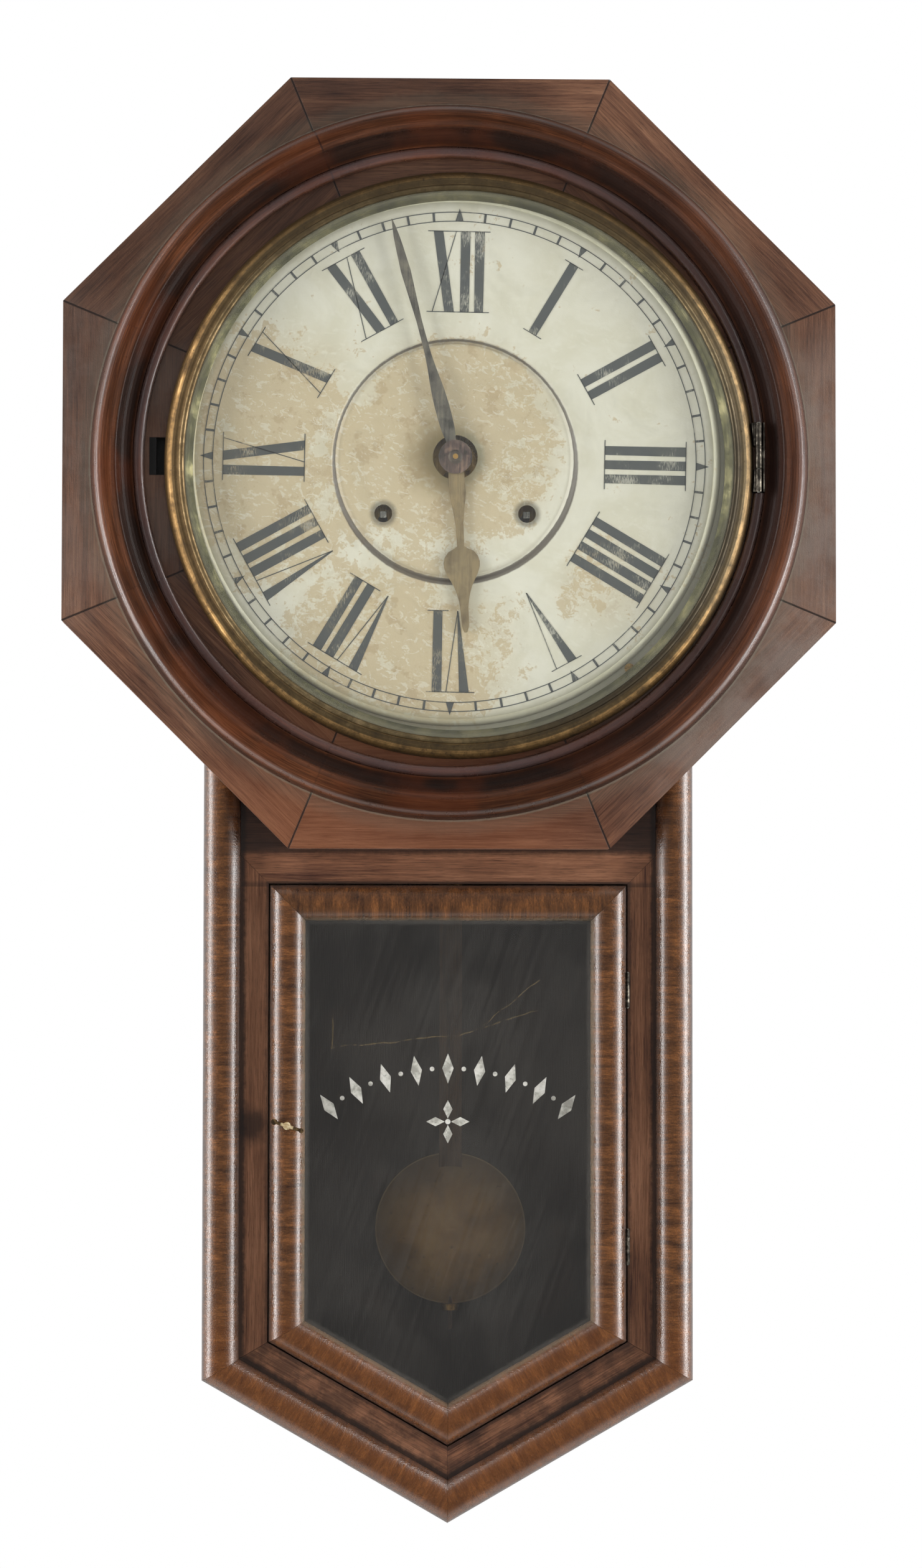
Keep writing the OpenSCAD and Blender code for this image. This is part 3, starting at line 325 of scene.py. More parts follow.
def wood_colour(g, along, across, depth, tones, blotch=0.012, figured=0.30):
    """Colour and pore height of a wood whose fibres run along the first measure."""
    figure = g.noise(stretched(g, along, across, depth, 0.010, 0.16), 1.0, 5, 0.6, 0.8)
    streak = g.noise(stretched(g, along, across, depth, 0.035, 1.2), 1.0, 4, 0.65)
    pores = g.noise(stretched(g, along, across, depth, 0.12, 3.4), 1.0, 2)
    broad = g.noise(g.mm, blotch, 3)
    value = weighed(g, (figure, figured), (streak, 0.66 - figured), (broad, 0.34))
    colour = g.tones(value, 0.36, 0.64, tones)
    dark = g.span(pores, 0.54, 0.70, 0.0, 0.55)
    return g.mix(dark, colour, GRIME_AND_SHADE), pores


def veneer_colour(g, along, run):
    """Mottled crotch veneer: soft cross bands broken by speckles, more orange towards the foot."""
    mottle = g.noise(g.vector(g.times(along, 0.07), g.times(run, 0.16), 3.0), 1.0, 4, 0.55, 0.4)
    bands = g.noise(g.vector(g.times(along, 0.09), g.times(run, 0.75), 7.0), 1.0, 4, 0.6, 0.3)
    speckle = g.noise(g.vector(g.times(along, 0.5), g.times(run, 1.6), 0.0), 1.0, 3, 0.7)
    value = weighed(g, (mottle, 0.40), (bands, 0.30), (speckle, 0.30))
    colour = g.tones(value, 0.35, 0.67, VENEER)
    warm = g.span(g.plus(g.z, g.times(mottle, 60.0)), -470.0, -430.0, 0.30, 0.0)
    colour = g.mix(warm, colour, WARM_VENEER)
    flecks = g.noise(g.vector(g.times(along, 0.3), g.times(run, 2.6), 11.0), 1.0, 2)
    return g.mix(g.span(flecks, 0.56, 0.70, 0.0, 0.45), colour, GRIME_AND_SHADE), flecks


def shellac(g, colour, pores, gloss=0.36, wear=0.5, dull=0.0):
    """Old crackled polish: worn by patches, with fine cracks and open pores."""
    patch = g.noise(g.mm, 0.05, 5, 0.65)
    cracks = g.cells(g.scale(g.mm, 0.55))
    crack = g.span(cracks, 0.0, 0.12, 0.0, 1.0)
    grain = g.noise(g.mm, 1.6, 3, 0.7)
    rough = g.span(patch, 0.35, 0.70, gloss, gloss + 0.16)
    height = weighed(g, (crack, 0.35 * wear), (grain, 0.5), (pores, -0.5))
    normal = g.bump(height, 0.13, 0.8)
    facing = g.add("ShaderNodeLayerWeight").outputs["Facing"]
    level = g.times(g.span(facing, 0.08, 0.34, 0.14, 1.0), g.minus(1.0, dull))
    return g.finish(g.surface(Base_Color=colour, Roughness=rough, Normal=normal, Specular_IOR_Level=level))


def head_frame(g):
    """Radius, angle, angle in its board, a shift for each of the eight boards, and the way to a joint."""
    r = g.radius(HEAD)
    a = g.angle(HEAD)
    k = g.math("ROUND", g.math("DIVIDE", a, SECTOR))
    turn = g.minus(a, g.times(k, SECTOR))
    board = g.times(g.math("FLOORED_MODULO", k, 8.0), BOARD_STEP)
    to_joint = g.times(g.minus(SECTOR / 2, g.math("ABSOLUTE", turn)), r)
    return r, a, turn, board, to_joint


def catch_slot(g):
    """1 inside the slot for the catch of the bezel, where the slot's shade is painted near black."""
    return g.times(band(g, g.x, *CATCH_X, 0.2), band(g, g.z, *CATCH_Z, 0.2))


def octagon_wood():
    """Eight mahogany boards: painted grey sheen at the sides, painted shade at the upper left, a warm foot,
    and dust along the ring.
    """
    g = Graph("octagon mahogany")
    r, a, turn, board, to_joint = head_frame(g)
    along = g.plus(g.times(r, g.sin(turn)), board)
    across = g.times(r, g.cos(turn))
    colour, pores = wood_colour(g, along, across, g.y, MAHOGANY)
    # painted shade over the boards at the upper left
    shade = g.span(toward(g, a, SHADE_AT), 0.45, 0.95, 0.0, 0.45)
    foot = g.span(toward(g, a, WARM_AT), 0.80, 0.97, 0.0, 0.42)
    # painted sheen: a grey reflection on the left and right boards, broken into patches
    sides = g.span(toward(g, a, SHEEN_AT), 0.70, 0.95, 0.0, 1.25)
    left = g.span(toward(g, a, math.pi), 0.86, 0.97, 0.0, 0.45)
    patch = g.span(g.noise(g.mm, 0.028, 6, 0.66), 0.36, 0.62, 0.28, 0.72)
    painted_sheen = g.times(g.plus(sides, left, clamp=True), patch)
    joint = g.span(to_joint, 0.35, 0.8, 1.0, 0.0)
    dusty = band(g, ragged(g, r, 0.5), RING_R - 1.0, RING_R + 0.9, 0.5)
    haze = band(g, ragged(g, r, 3.0, 0.12), RING_R - 1.0, RING_R + 7.0, 4.0)
    colour = layered(
        g, colour,
        (shade, GRIME_AND_SHADE), (foot, WARM_BOARD), (painted_sheen, SHEEN), (g.times(joint, 0.85), GRIME_AND_SHADE),
        (catch_slot(g), SLOT_SHADE), (g.times(dusty, 0.40), DUST), (g.times(haze, 0.10), DUST))
    height = g.plus(pores, g.times(joint, 2.0))
    return shellac(g, colour, height, 0.34)


def ring_wood():
    """Turned moulding: painted sheen on the bead, painted shade in the cove and under the bead, painted
    shade and dirt at the rim's foot, plum at the right, rust at the left, polished rim.
    """
    g = Graph("turned ring")
    r, a, turn, board, to_joint = head_frame(g)
    along = g.plus(g.times(turn, RING_MEAN_R), board)
    colour, pores = wood_colour(g, along, r, g.y, RING_WOOD)
    at_top_left = g.span(g.math("ABSOLUTE", g.minus(a, 2.5 * SECTOR)), 0.05, 0.06, 1.0, 0.25)
    joint = g.times(g.span(to_joint, 0.3, 0.7, 1.0, 0.0), at_top_left)
    # painted sheen along the bead
    bead = band(g, ragged(g, r, 0.6), *BEAD, 1.0)
    # painted shade in the crease under the bead
    under_bead = g.span(ragged(g, r, 0.4), BEAD[0] - 1.4, BEAD[0], 1.0, 0.0)
    # painted shade down in the cove
    cove = band(g, ragged(g, r, 0.8), *COVE, 1.2)
    plum = g.span(g.cos(a), 0.30, 0.85, 0.0, 0.40)
    rust_patch = g.span(g.noise(g.mm, 0.018, 3, 0.6), 0.45, 0.62, 0.0, 0.25)
    rust = g.times(rust_patch, g.span(g.cos(a), 0.10, 0.75, 1.0, 0.1))
    # painted shade and dirt in the corner at the rim's foot
    foot = g.span(ragged(g, r, 0.3), *RIM_FOOT, 0.0, 0.6)
    colour = layered(
        g, colour,
        (g.times(joint, 0.85), GRIME_AND_SHADE), (g.times(bead, 0.30), BEAD_SHEEN),
        (g.times(under_bead, 0.7), GRIME_AND_SHADE), (g.times(cove, 0.85), GRIME_AND_SHADE),
        (plum, PLUM), (rust, RUST), (foot, GRIME_AND_SHADE), (catch_slot(g), SLOT_SHADE))
    low_sides = g.span(g.sin(a), -0.35, 0.15, 0.15, 0.70)
    shiny = g.times(band(g, ragged(g, r, 0.3), *RIM_SHINE, 0.5), g.minus(1.0, low_sides))
    rim = g.times(g.span(r, *RIM), g.minus(0.88, shiny, clamp=True))
    dull = g.most(rim, g.times(band(g, r, *COVE_POLISH, 1.0), 0.92))
    return shellac(g, colour, pores, 0.24, 0.5, dull)


def trunk_frame(g):
    """Insets from the trunk's sides and from its V, and 1 where the V is nearer."""
    ax = g.math("ABSOLUTE", g.x)
    side = g.minus(TRUNK_HALF, ax)
    up = g.times(g.minus(g.z, APEX), math.cos(V_ANGLE))
    v = g.minus(up, g.times(ax, math.sin(V_ANGLE)))
    in_v = g.math("LESS_THAN", v, side)
    run_v = g.plus(g.times(ax, math.cos(V_ANGLE)), g.times(g.z, math.sin(V_ANGLE)))
    hand = g.math("SIGN", g.x)
    return side, v, in_v, run_v, hand


def veneer_wood(name, top=False):
    """Cross-banded veneer of the half-round mouldings: fibres across each run."""
    g = Graph(name)
    side, v, in_v, run_v, hand = trunk_frame(g)
    offset = g.times(hand, 4 * BOARD_STEP)
    inset = pick(g, in_v, side, v)
    run = g.plus(pick(g, in_v, g.z, run_v), offset)
    if top:
        in_top = g.math("LESS_THAN", g.minus(DOOR_TOP, g.z), g.minus(side, DOOR_INSET))
        inset = pick(g, in_top, inset, g.plus(g.minus(DOOR_TOP, g.z), DOOR_INSET))
        run = pick(g, in_top, run, g.x)
    along = g.minus(inset, g.y)
    colour, pores = veneer_colour(g, along, run)
    edge = ragged(g, inset, 0.5)
    if top:
        edge = g.minus(edge, DOOR_INSET)
    near, far, strength, tone = DOOR_EDGE if top else TRUNK_EDGE
    # trunk: painted shade and dirt at the inner edge; door: pale dust
    inner = g.times(g.span(edge, near, far), strength)
    # painted shade and dirt along the outer edge
    outer = g.times(g.span(edge, *OUTER_SHADE_AND_DIRT, 1.0, 0.0), 0.65)
    colour = layered(g, colour, (inner, tone), (outer, GRIME_AND_SHADE))
    return shellac(g, colour, pores, 0.20, 1.0)


def panel_wood():
    """Five flat boards with painted shade and dirt along the mouldings and the door, a painted shadow under
    the octagon, dirt at the latch and grime low in the V.
    """
    g = Graph("flat panel")
    side, v, in_v, run_v, hand = trunk_frame(g)
    in_top = g.math("LESS_THAN", g.minus(PANEL_TOP, g.z), side)
    run = pick(g, in_top, pick(g, in_v, g.z, run_v), g.x)
    across = pick(g, in_top, pick(g, in_v, side, v), g.z)
    board = g.times(pick(g, in_top, hand, 5.0), BOARD_STEP)
    colour, pores = wood_colour(g, g.plus(run, board), g.plus(across, board), g.y, PANEL_WOOD)
    inset = ragged(g, pick(g, in_v, side, v), 1.6)
    under = ragged(g, g.minus(OCTAGON_FOOT, g.z), 1.2)
    door_edge = g.minus(DOOR_INSET, inset)
    above_door = g.minus(ragged(g, g.z, 0.8), DOOR_TOP)
    below_top = g.math("LESS_THAN", g.z, DOOR_TOP + 2)
    # painted shade and dirt along the mouldings, along the door and above it, and a painted shadow under the
    # octagon
    dirt = [g.span(inset, MOULD_W + 1.5, MOULD_W + 4.5, 0.85, 0.0), g.span(under, 0.0, 5.0, 0.85, 0.0),
            g.times(g.span(door_edge, 1.0, 3.6, 0.6, 0.0), below_top),
            g.times(g.span(above_door, 0.4, 3.0, 0.5, 0.0), g.math("GREATER_THAN", g.z, DOOR_TOP - 1))]
    smudge = g.span(ragged(g, g.radius(LATCH_SMUDGE), 4.0, 0.12), 4.0, 14.0, 0.8, 0.0)
    low = g.times(in_v, g.math("LESS_THAN", g.z, DOOR_TOP))
    grimy = g.times(low, g.span(g.noise(g.mm, 0.09, 5, 0.68), 0.38, 0.60, 0.10, 0.55))
    colour = layered(g, colour, *((mask, GRIME_AND_SHADE) for mask in (*dirt, smudge, grimy)))
    return shellac(g, colour, pores, 0.36)


def board_wood(name, tones, lengthwise=True, dark_front=False, rough=0.62):
    """Plain board whose fibres run up or across, for the inside and the sides."""
    g = Graph(name)
    along, across = (g.z, g.x) if lengthwise else (g.x, g.z)
    colour, pores = wood_colour(g, along, across, g.y, tones, 0.008)
    if dark_front:
        # painted shade: the backboard's front face, inside the case, is darkened nearly black
        inside = g.span(g.y, BACKBOARD_FACE, BACKBOARD_FACE + 1.2, 1.0, 0.0)
        colour = g.mix(g.times(inside, 0.93), colour, INSIDE_SHADE)
    knots = g.span(g.noise(g.mm, 0.02, 2), 0.60, 0.75)
    colour = g.mix(g.times(knots, 0.35), colour, tones[0])
    normal = g.bump(g.plus(g.noise(stretched(g, along, across, g.y, 0.05, 2.0), 1.0, 3), pores), 0.25, 0.7)
    return g.finish(g.surface(Base_Color=colour, Roughness=rough, Normal=normal, Specular_IOR_Level=0.35))


# Dial
DIAL_FRONT = 113.8
GROOVE_R = 67.3
GROOVE_HEAVY_AT = math.radians(-80)
PRINT = (2.7, 0.3)
CLEAR_RING = (68.0, 82.0)
HUB_HALO = (9.0, 16.0)
HUB_STAIN = (-3.0, 2.0)
HUB_STAIN_R = (9.0, 30.0)
IVORY = rgb("d1cdb8")
CREAM = rgb("dad7c6")
TAN = rgb("bca983")
INK = rgb("383d3e")
BROWN = rgb("a58d68")
# greenish tone of the painted shade at the dial's rim, next to the sight ring
RIM_GREEN_SHADE = rgb("8a866c")
HUB_GREEN = rgb("87927f")
HUB_BROWN = rgb("7f6d45")
HOLE_GREY = rgb("5c5748")
# dark of the painted shade and dirt in the dial's pressed groove
GROOVE_SHADE_AND_DIRT = rgb("443a2f")
GROOVE_DUST = rgb("8e8268")
SPECK = rgb("7b6a55")

# Middle of each tan stain, the radii that it fades between, and its strength inside and outside them
STAINS = (
    ((-100.0, 2.0), 40.0, 105.0, 1.0, 0.0),
    ((-28.0, -108.0), 30.0, 95.0, 1.0, 0.0),
    ((0.0, 14.0), 44.0, 78.0, 1.0, 0.15),
    ((88.0, -66.0), 14.0, 48.0, 0.7, 0.0),
)


def matt(g, colour, level, **more):
    """A half rough surface that isn't metal, with its level of gloss."""
    return g.surface(Base_Color=colour, Roughness=0.5, Specular_IOR_Level=level, **more)


def paint(g, colour, level, **more):
    return g.finish(matt(g, colour, level, **more))


def metal(g, colour, metallic, rough, normal):
    return g.finish(g.surface(Base_Color=colour, Metallic=metallic, Roughness=rough, Normal=normal))


def dial_colour(g):
    """Ivory paint with tan stains, painted greenish shade at the rim, and greenish or brown dirt at the hub
    and the key holes.
    """
    r = g.radius(DIAL)
    zone = 0.0
    for middle, *fade in STAINS:
        zone = g.most(zone, g.span(g.radius(middle), *fade))
    clear_ring = band(g, ragged(g, r, 3.0, 0.08), *CLEAR_RING, 3.0)
    zone = g.minus(zone, g.times(clear_ring, 0.22))
    big = g.noise(g.mm, 0.026, 6, 0.62, 0.7)
    mid = g.noise(g.mm, 0.13, 6, 0.7, 0.6)
    fine = g.noise(g.mm, 0.6, 4, 0.7)
    flake = weighed(g, (zone, 0.24), (big, 0.55), (mid, 0.50), (fine, 0.20))
    soft = g.times(g.span(zone, 0.1, 0.9), 0.30)
    stain = g.span(flake, 0.770, 0.790, 0.0, 0.72)
    brown = g.times(g.span(g.noise(g.mm, 0.07, 6, 0.7), 0.53, 0.60), g.span(zone, 0.4, 1.0, 0.0, 0.45))
    rub = g.noise(stretched(g, g.plus(g.x, g.times(g.z, 0.5)), g.z, 0.0, 0.17, 0.24), 1.0, 7, 0.74, 0.9)
    # painted shade at the rim, next to the sight ring
    rim = g.span(ragged(g, r, 0.8), *DIAL_RIM, 0.0, 0.70)
    halo = band(g, ragged(g, g.radius(HANDS), 1.8, 0.25), *HUB_HALO, 2.2)
    near_hub = g.span(ragged(g, g.radius(HUB_STAIN), 5.0, 0.12), *HUB_STAIN_R, 0.85, 0.0)
    holes = [g.span(ragged(g, g.radius(square), 0.5), *KEY_HOLE_DIRT, 0.75, 0.0)
             for square in (TIME_SQUARE, STRIKE_SQUARE)]
    specks = g.span(g.noise(g.mm, 0.9, 2, 0.8), 0.74, 0.78, 0.0, 0.5)
    clean = g.mix(g.span(big, 0.35, 0.65), IVORY, CREAM)
    colour = layered(
        g, clean,
        (soft, TAN), (stain, TAN), (brown, BROWN), (g.span(rub, 0.555, 0.575, 0.0, 0.50), CREAM),
        (rim, RIM_GREEN_SHADE), (g.times(halo, 0.55), HUB_GREEN), (near_hub, HUB_BROWN),
        *((hole, HOLE_GREY) for hole in holes), (specks, SPECK))
    return colour, r


def dial_paint():
    """Paint of the dial sheet, with painted shade and dirt in its pressed groove, heaviest at the foot."""
    g = Graph("dial paint")
    colour, r = dial_colour(g)
    heavy = g.span(toward(g, g.angle(DIAL), GROOVE_HEAVY_AT), -0.5, 0.9, 1.2, 3.4)
    # painted shade and dirt in the groove
    off = g.minus(ragged(g, r, 0.35), GROOVE_R)
    inside = g.span(off, -0.7, -0.1)
    groove = g.times(inside, g.span(g.minus(off, heavy), -0.6, 0.4, 1.0, 0.0))
    inner_dust = band(g, r, GROOVE_R - 3.0, GROOVE_R - 0.8, 1.2)
    scratch = g.noise(stretched(g, g.plus(g.z, g.times(g.x, 0.3)), g.x, 0.0, 0.02, 1.8), 1.0, 3)
    colour = layered(
        g, colour,
        (g.times(groove, 0.90), GROOVE_SHADE_AND_DIRT), (g.times(inner_dust, 0.28), GROOVE_DUST),
        (g.span(scratch, 0.66, 0.74, 0.0, 0.30), CREAM))
    shape = g.times(g.span(g.math("ABSOLUTE", g.minus(r, GROOVE_R)), 0.0, 2.2, 0.0, 1.0), 6.0)
    height = add_up(g, shape, g.times(g.noise(g.mm, 0.4, 4, 0.7), 0.5), g.noise(g.mm, 0.012, 2))
    return paint(g, colour, 0.35, Normal=g.bump(height, 0.25))


def ink_paint():
    """Dark printing, rubbed through to the paint in places."""
    g = Graph("dial ink")
    ground, _ = dial_colour(g)
    patch = g.noise(g.mm, 0.045, 3, 0.6)
    fine = g.noise(stretched(g, g.z, g.x, 0.0, 0.35, 1.6), 1.0, 5, 0.75)
    worn = g.span(weighed(g, (patch, 0.55), (fine, 0.5)), 0.56, 0.64, 0.03, 0.50)
    return paint(g, g.mix(worn, INK, ground), 0.35)


# Metals
BRASS_OUTER = three("2f2415", "6b5230", "957549")
# the hollow's darker copy of the brass is painted shade
BRASS_HOLLOW_SHADE = three("241c12", "41341f", "5f4f35")
BRASS_ROLL = three("332a1b", "54472f", "7c6a4d")
# Painted shade at the edge, at the top and foot and at the left, a painted grey reflection at the right, a
# painted shadow inside at the lower right, and dark specks of stain
BRASS_EDGE_SHADE = rgb("2a2118")
BRASS_SHADE = rgb("33291a")
BRASS_COPPER_SHADE = rgb("4d3921")
BRASS_GREY_SHEEN = rgb("5d5340")
BRASS_SHADOW = rgb("231f18")
BRASS_SPECK = rgb("241c14")
BOB_TONES = three("9c7b48", "cba466", "e6c68c")
# painted shade, painted edge glint and dark spots of the bob
BOB_SHADE = rgb("4a3d28")
BOB_EDGE_GLINT = rgb("c9b689")
BOB_SPOT = rgb("3e3424")
ARM_TONES = three("1d1713", "3c3023", "7a6444")
BOSS_TONES = three("7d6a4c", "b5a07a", "e0d2b2")
BLADE_TONES = three("2f2d27", "57534a", "716b5c")
COPPER_TONES = three("2a211c", "50403a", "7d6656")


def turned_brass(name, centre, tones, shine=0.30, dirt=0.5, metallic=1.0):
    """Brass with patina in patches and fine scratches that run round a centre."""
    g = Graph(name)
    r = g.radius(centre)
    turn = g.angle(centre)
    lines = g.noise(g.vector(g.times(g.sin(turn), 6.0), g.times(r, 2.2), g.times(g.y, 2.2)), 1.0, 3)
    patch = g.noise(g.mm, 0.045, 6, 0.62, 0.4)
    specks = g.noise(g.mm, 0.5, 3, 0.7)
    value = weighed(g, (patch, 0.6), (lines, 0.2), (specks, 0.2))
    colour = g.tones(value, 0.36, 0.64, tones)
    rough = g.span(value, 0.36, 0.64, shine + 0.28, shine)
    tarnish = g.span(specks, 0.58, 0.68, 0.0, dirt)
    colour = g.mix(tarnish, colour, tones[0])
    normal = g.bump(g.plus(lines, g.times(specks, 0.6)), 0.05, 0.8)
    return metal(g, colour, metallic, rough, normal)


def bezel_brass():
    """Spun brass: a coppery outer band with black specks, a dark hollow of painted shade and a pale inner
    roll, painted shade at the edge, top, foot and left, a painted grey reflection at the right and a painted
    shadow inside at the lower right.
    """
    g = Graph("bezel brass")
    r = g.radius(BEZEL)
    turn = g.angle(BEZEL)
    lines = g.noise(g.vector(g.times(g.sin(turn), 5.0), g.times(r, 1.8), 0.0), 1.0, 3)
    patch = g.noise(g.mm, 0.09, 6, 0.70, 0.4)
    value = g.plus(g.times(patch, 0.7), g.times(lines, 0.3))
    spread = g.span(value, 0.37, 0.65, smooth=False)
    outer, hollow, roll = (g.ramp(spread, tones) for tones in (BRASS_OUTER, BRASS_HOLLOW_SHADE, BRASS_ROLL))
    rough_r = ragged(g, r, 0.25)
    # painted shade in the hollow
    colour = g.mix(band(g, rough_r, *BEZEL_HOLLOW, 0.5), outer, hollow)
    colour = g.mix(g.span(rough_r, *BEZEL_ROLL, 1.0, 0.0), colour, roll)
    # painted shade at the foot and the top
    foot = g.span(g.sin(turn), -0.95, -0.55, 0.35, 0.0)
    head = g.span(g.sin(turn), 0.35, 0.85)
    # painted coppery shade at the left and a painted grey reflection at the right
    left = g.span(g.cos(turn), -0.97, -0.70, 0.35, 0.0)
    right = g.span(g.cos(turn), 0.70, 0.97)
    # painted shadow inside the bezel at the lower right
    low_right = g.span(toward(g, turn, -0.5), 0.45, 0.90)
    inner = g.span(rough_r, *BEZEL_INNER, 0.85, 0.0)
    specks = g.noise(g.mm, 0.55, 3, 0.75)
    # painted shade at the outer edge, then the marks above; the specks are stains
    colour = layered(
        g, colour,
        (g.span(r, *BEZEL_EDGE, 0.0, 0.8), BRASS_EDGE_SHADE), (g.times(g.most(foot, head), 0.62), BRASS_SHADE),
        (left, BRASS_COPPER_SHADE), (g.times(right, 0.45), BRASS_GREY_SHEEN), (g.times(low_right, inner), BRASS_SHADOW),
        (g.span(specks, 0.60, 0.66, 0.0, 0.6), BRASS_SPECK))
    normal = g.bump(g.plus(lines, specks), 0.05, 0.8)
    return metal(g, colour, 0.85, g.span(value, 0.38, 0.62, 0.58, 0.36), normal)


def bob_brass():
    """Domed old brass disc: a painted highlight in the middle, painted shade towards the rim, and a painted
    bright glint on the edge.
    """
    g = Graph("bob brass")
    patch = g.noise(g.mm, 0.03, 5, 0.55, 0.2)
    # painted shade away from the painted highlight
    away = g.span(g.radius(BOB_HIGHLIGHT), *BOB_HIGHLIGHT_R, 0.0, 0.75)
    # painted glint on the rim
    edge = g.span(g.radius(BOB), *BOB_RIM)
    spots = g.span(g.noise(g.mm, 0.25, 4, 0.7), 0.62, 0.68, 0.0, 0.6)
    colour = layered(
        g, g.tones(patch, 0.30, 0.70, BOB_TONES),
        (away, BOB_SHADE), (g.times(edge, 0.7), BOB_EDGE_GLINT), (spots, BOB_SPOT))
    normal = g.bump(g.noise(g.mm, 0.5, 4, 0.6), 0.06, 0.8)
    return metal(g, colour, 0.4, g.span(patch, 0.36, 0.64, 0.55, 0.32), normal)


def latch_brass():
    """Bright boss in the middle and dark, handled arms."""
    g = Graph("latch brass")
    r = g.radius(LATCH)
    patch = g.noise(g.mm, 0.35, 4, 0.65, 0.4)
    tone = g.span(patch, 0.36, 0.64, smooth=False)
    colour = g.mix(g.span(r, *LATCH_BOSS, 1.0, 0.0), g.ramp(tone, ARM_TONES), g.ramp(tone, BOSS_TONES))
    normal = g.bump(g.noise(g.mm, 0.9, 3, 0.6), 0.05, 0.8)
    return metal(g, colour, 1.0, g.span(patch, 0.35, 0.65, 0.45, 0.25), normal)


def worn_metal(name, tones, shine=0.32, scale=0.12, metallic=1.0, brush=(0.05, 1.5)):
    """Cast or rolled metal with brushed lines, stains and handling wear."""
    g = Graph(name)
    lines = g.noise(stretched(g, g.z, g.x, g.y, *brush), 1.0, 4, 0.6)
    patch = g.noise(g.mm, scale, 5, 0.65, 0.5)
    value = g.plus(g.times(patch, 0.65), g.times(lines, 0.35))
    colour = g.tones(value, 0.38, 0.64, tones)
    rough = g.span(value, 0.35, 0.65, shine + 0.25, shine)
    normal = g.bump(g.plus(lines, g.noise(g.mm, 0.9, 3, 0.6)), 0.04, 0.8)
    return metal(g, colour, metallic, rough, normal)


def minute_bronze():
    """Dull bronze blade with a darker coppery hub."""
    g = Graph("minute hand bronze")
    lines = g.noise(stretched(g, g.z, g.x, g.y, 0.06, 0.8), 1.0, 4, 0.6)
    patch = g.noise(g.mm, 0.11, 5, 0.65, 0.5)
    value = g.plus(g.times(patch, 0.6), g.times(lines, 0.4))
    blade = g.tones(value, 0.38, 0.64, BLADE_TONES)
    copper = g.tones(value, 0.40, 0.62, COPPER_TONES)
    r = g.radius(HANDS)
    colour = g.mix(g.span(r, *HUB_R, 1.0, 0.0), blade, copper)
    rings = g.sin(g.times(r, 2.4))
    normal = g.bump(g.plus(lines, g.times(rings, 0.3)), 0.05, 0.7)
    return metal(g, colour, 0.4, 0.42, normal)


# Glass and what lies on it
CLEAR_TINT = (0.985, 0.99, 0.985)
SMOKY_TINT = (0.68, 0.66, 0.63)
SMEAR = rgb("8c8872")
FILM = rgb("686560")
SCRATCH = rgb("9a8459")
SILVER = three("8f8d84", "bdbbb2", "cfcdc6")
SILVER_WORN = rgb("55534c")


def thin_glass(g, tint, shine, gloss_rough):
    """Thin glass that lets the view through, with a faint reflection."""
    through = g.add("ShaderNodeBsdfTransparent")
    g.link((*tint, 1.0), through.inputs["Color"])
    gloss = g.add("ShaderNodeBsdfGlossy")
    gloss.inputs["Roughness"].default_value = gloss_rough
    return blend(g, shine, through.outputs[0], gloss.outputs[0])


def blend(g, factor, a, b):
    node = g.add("ShaderNodeMixShader")
    for value, socket in zip((factor, a, b), node.inputs):
        g.link(value, socket)
    return node.outputs[0]


def bezel_pane():
    """Clean dial glass with faint smears and a thin dusty rim."""
    g = Graph("bezel glass")
    smear = g.span(g.noise(g.mm, 0.02, 5, 0.65, 1.0), 0.45, 0.75, 0.0, 0.05)
    rim = g.span(ragged(g, g.radius(BEZEL), 0.6), *PANE_RIM, 0.0, 0.30)
    dirt = matt(g, SMEAR, 0.4)
    face = thin_glass(g, CLEAR_TINT, 0.025, 0.06)
    return g.finish(blend(g, g.most(smear, rim), face, dirt))


def line_mark(g, start, end, width):
    """1 on a thin broken scratch between two points of the pane."""
    run = (end[0] - start[0], end[1] - start[1])
    length = math.hypot(*run)
    dx = g.minus(g.x, start[0])
    dz = g.minus(g.z, start[1])
    along = weighed(g, (dx, run[0] / length), (dz, run[1] / length))
    across = weighed(g, (dz, run[0] / length), (dx, -run[1] / length))
    bow = g.times(g.minus(g.noise(g.mm, 0.05, 2), 0.5), 5.0)
    near = g.span(g.math("ABSOLUTE", g.plus(across, bow)), width * 0.3, width, 1.0, 0.0)
    broken = g.span(g.noise(g.mm, 0.25, 3, 0.7), 0.40, 0.60)
    return g.times(g.times(near, broken), band(g, along, 0.0, length, 2.0))


# Start, end and half width of the scratches on the door glass
SCRATCHES = (
    ((-66.0, -329.6), (6.0, -322.0), 0.55),
    ((6.0, -322.0), (52.0, -308.0), 0.45),
    ((-66.0, -312.0), (-65.5, -329.6), 0.5),
    ((20.0, -316.0), (54.0, -290.0), 0.4),
)


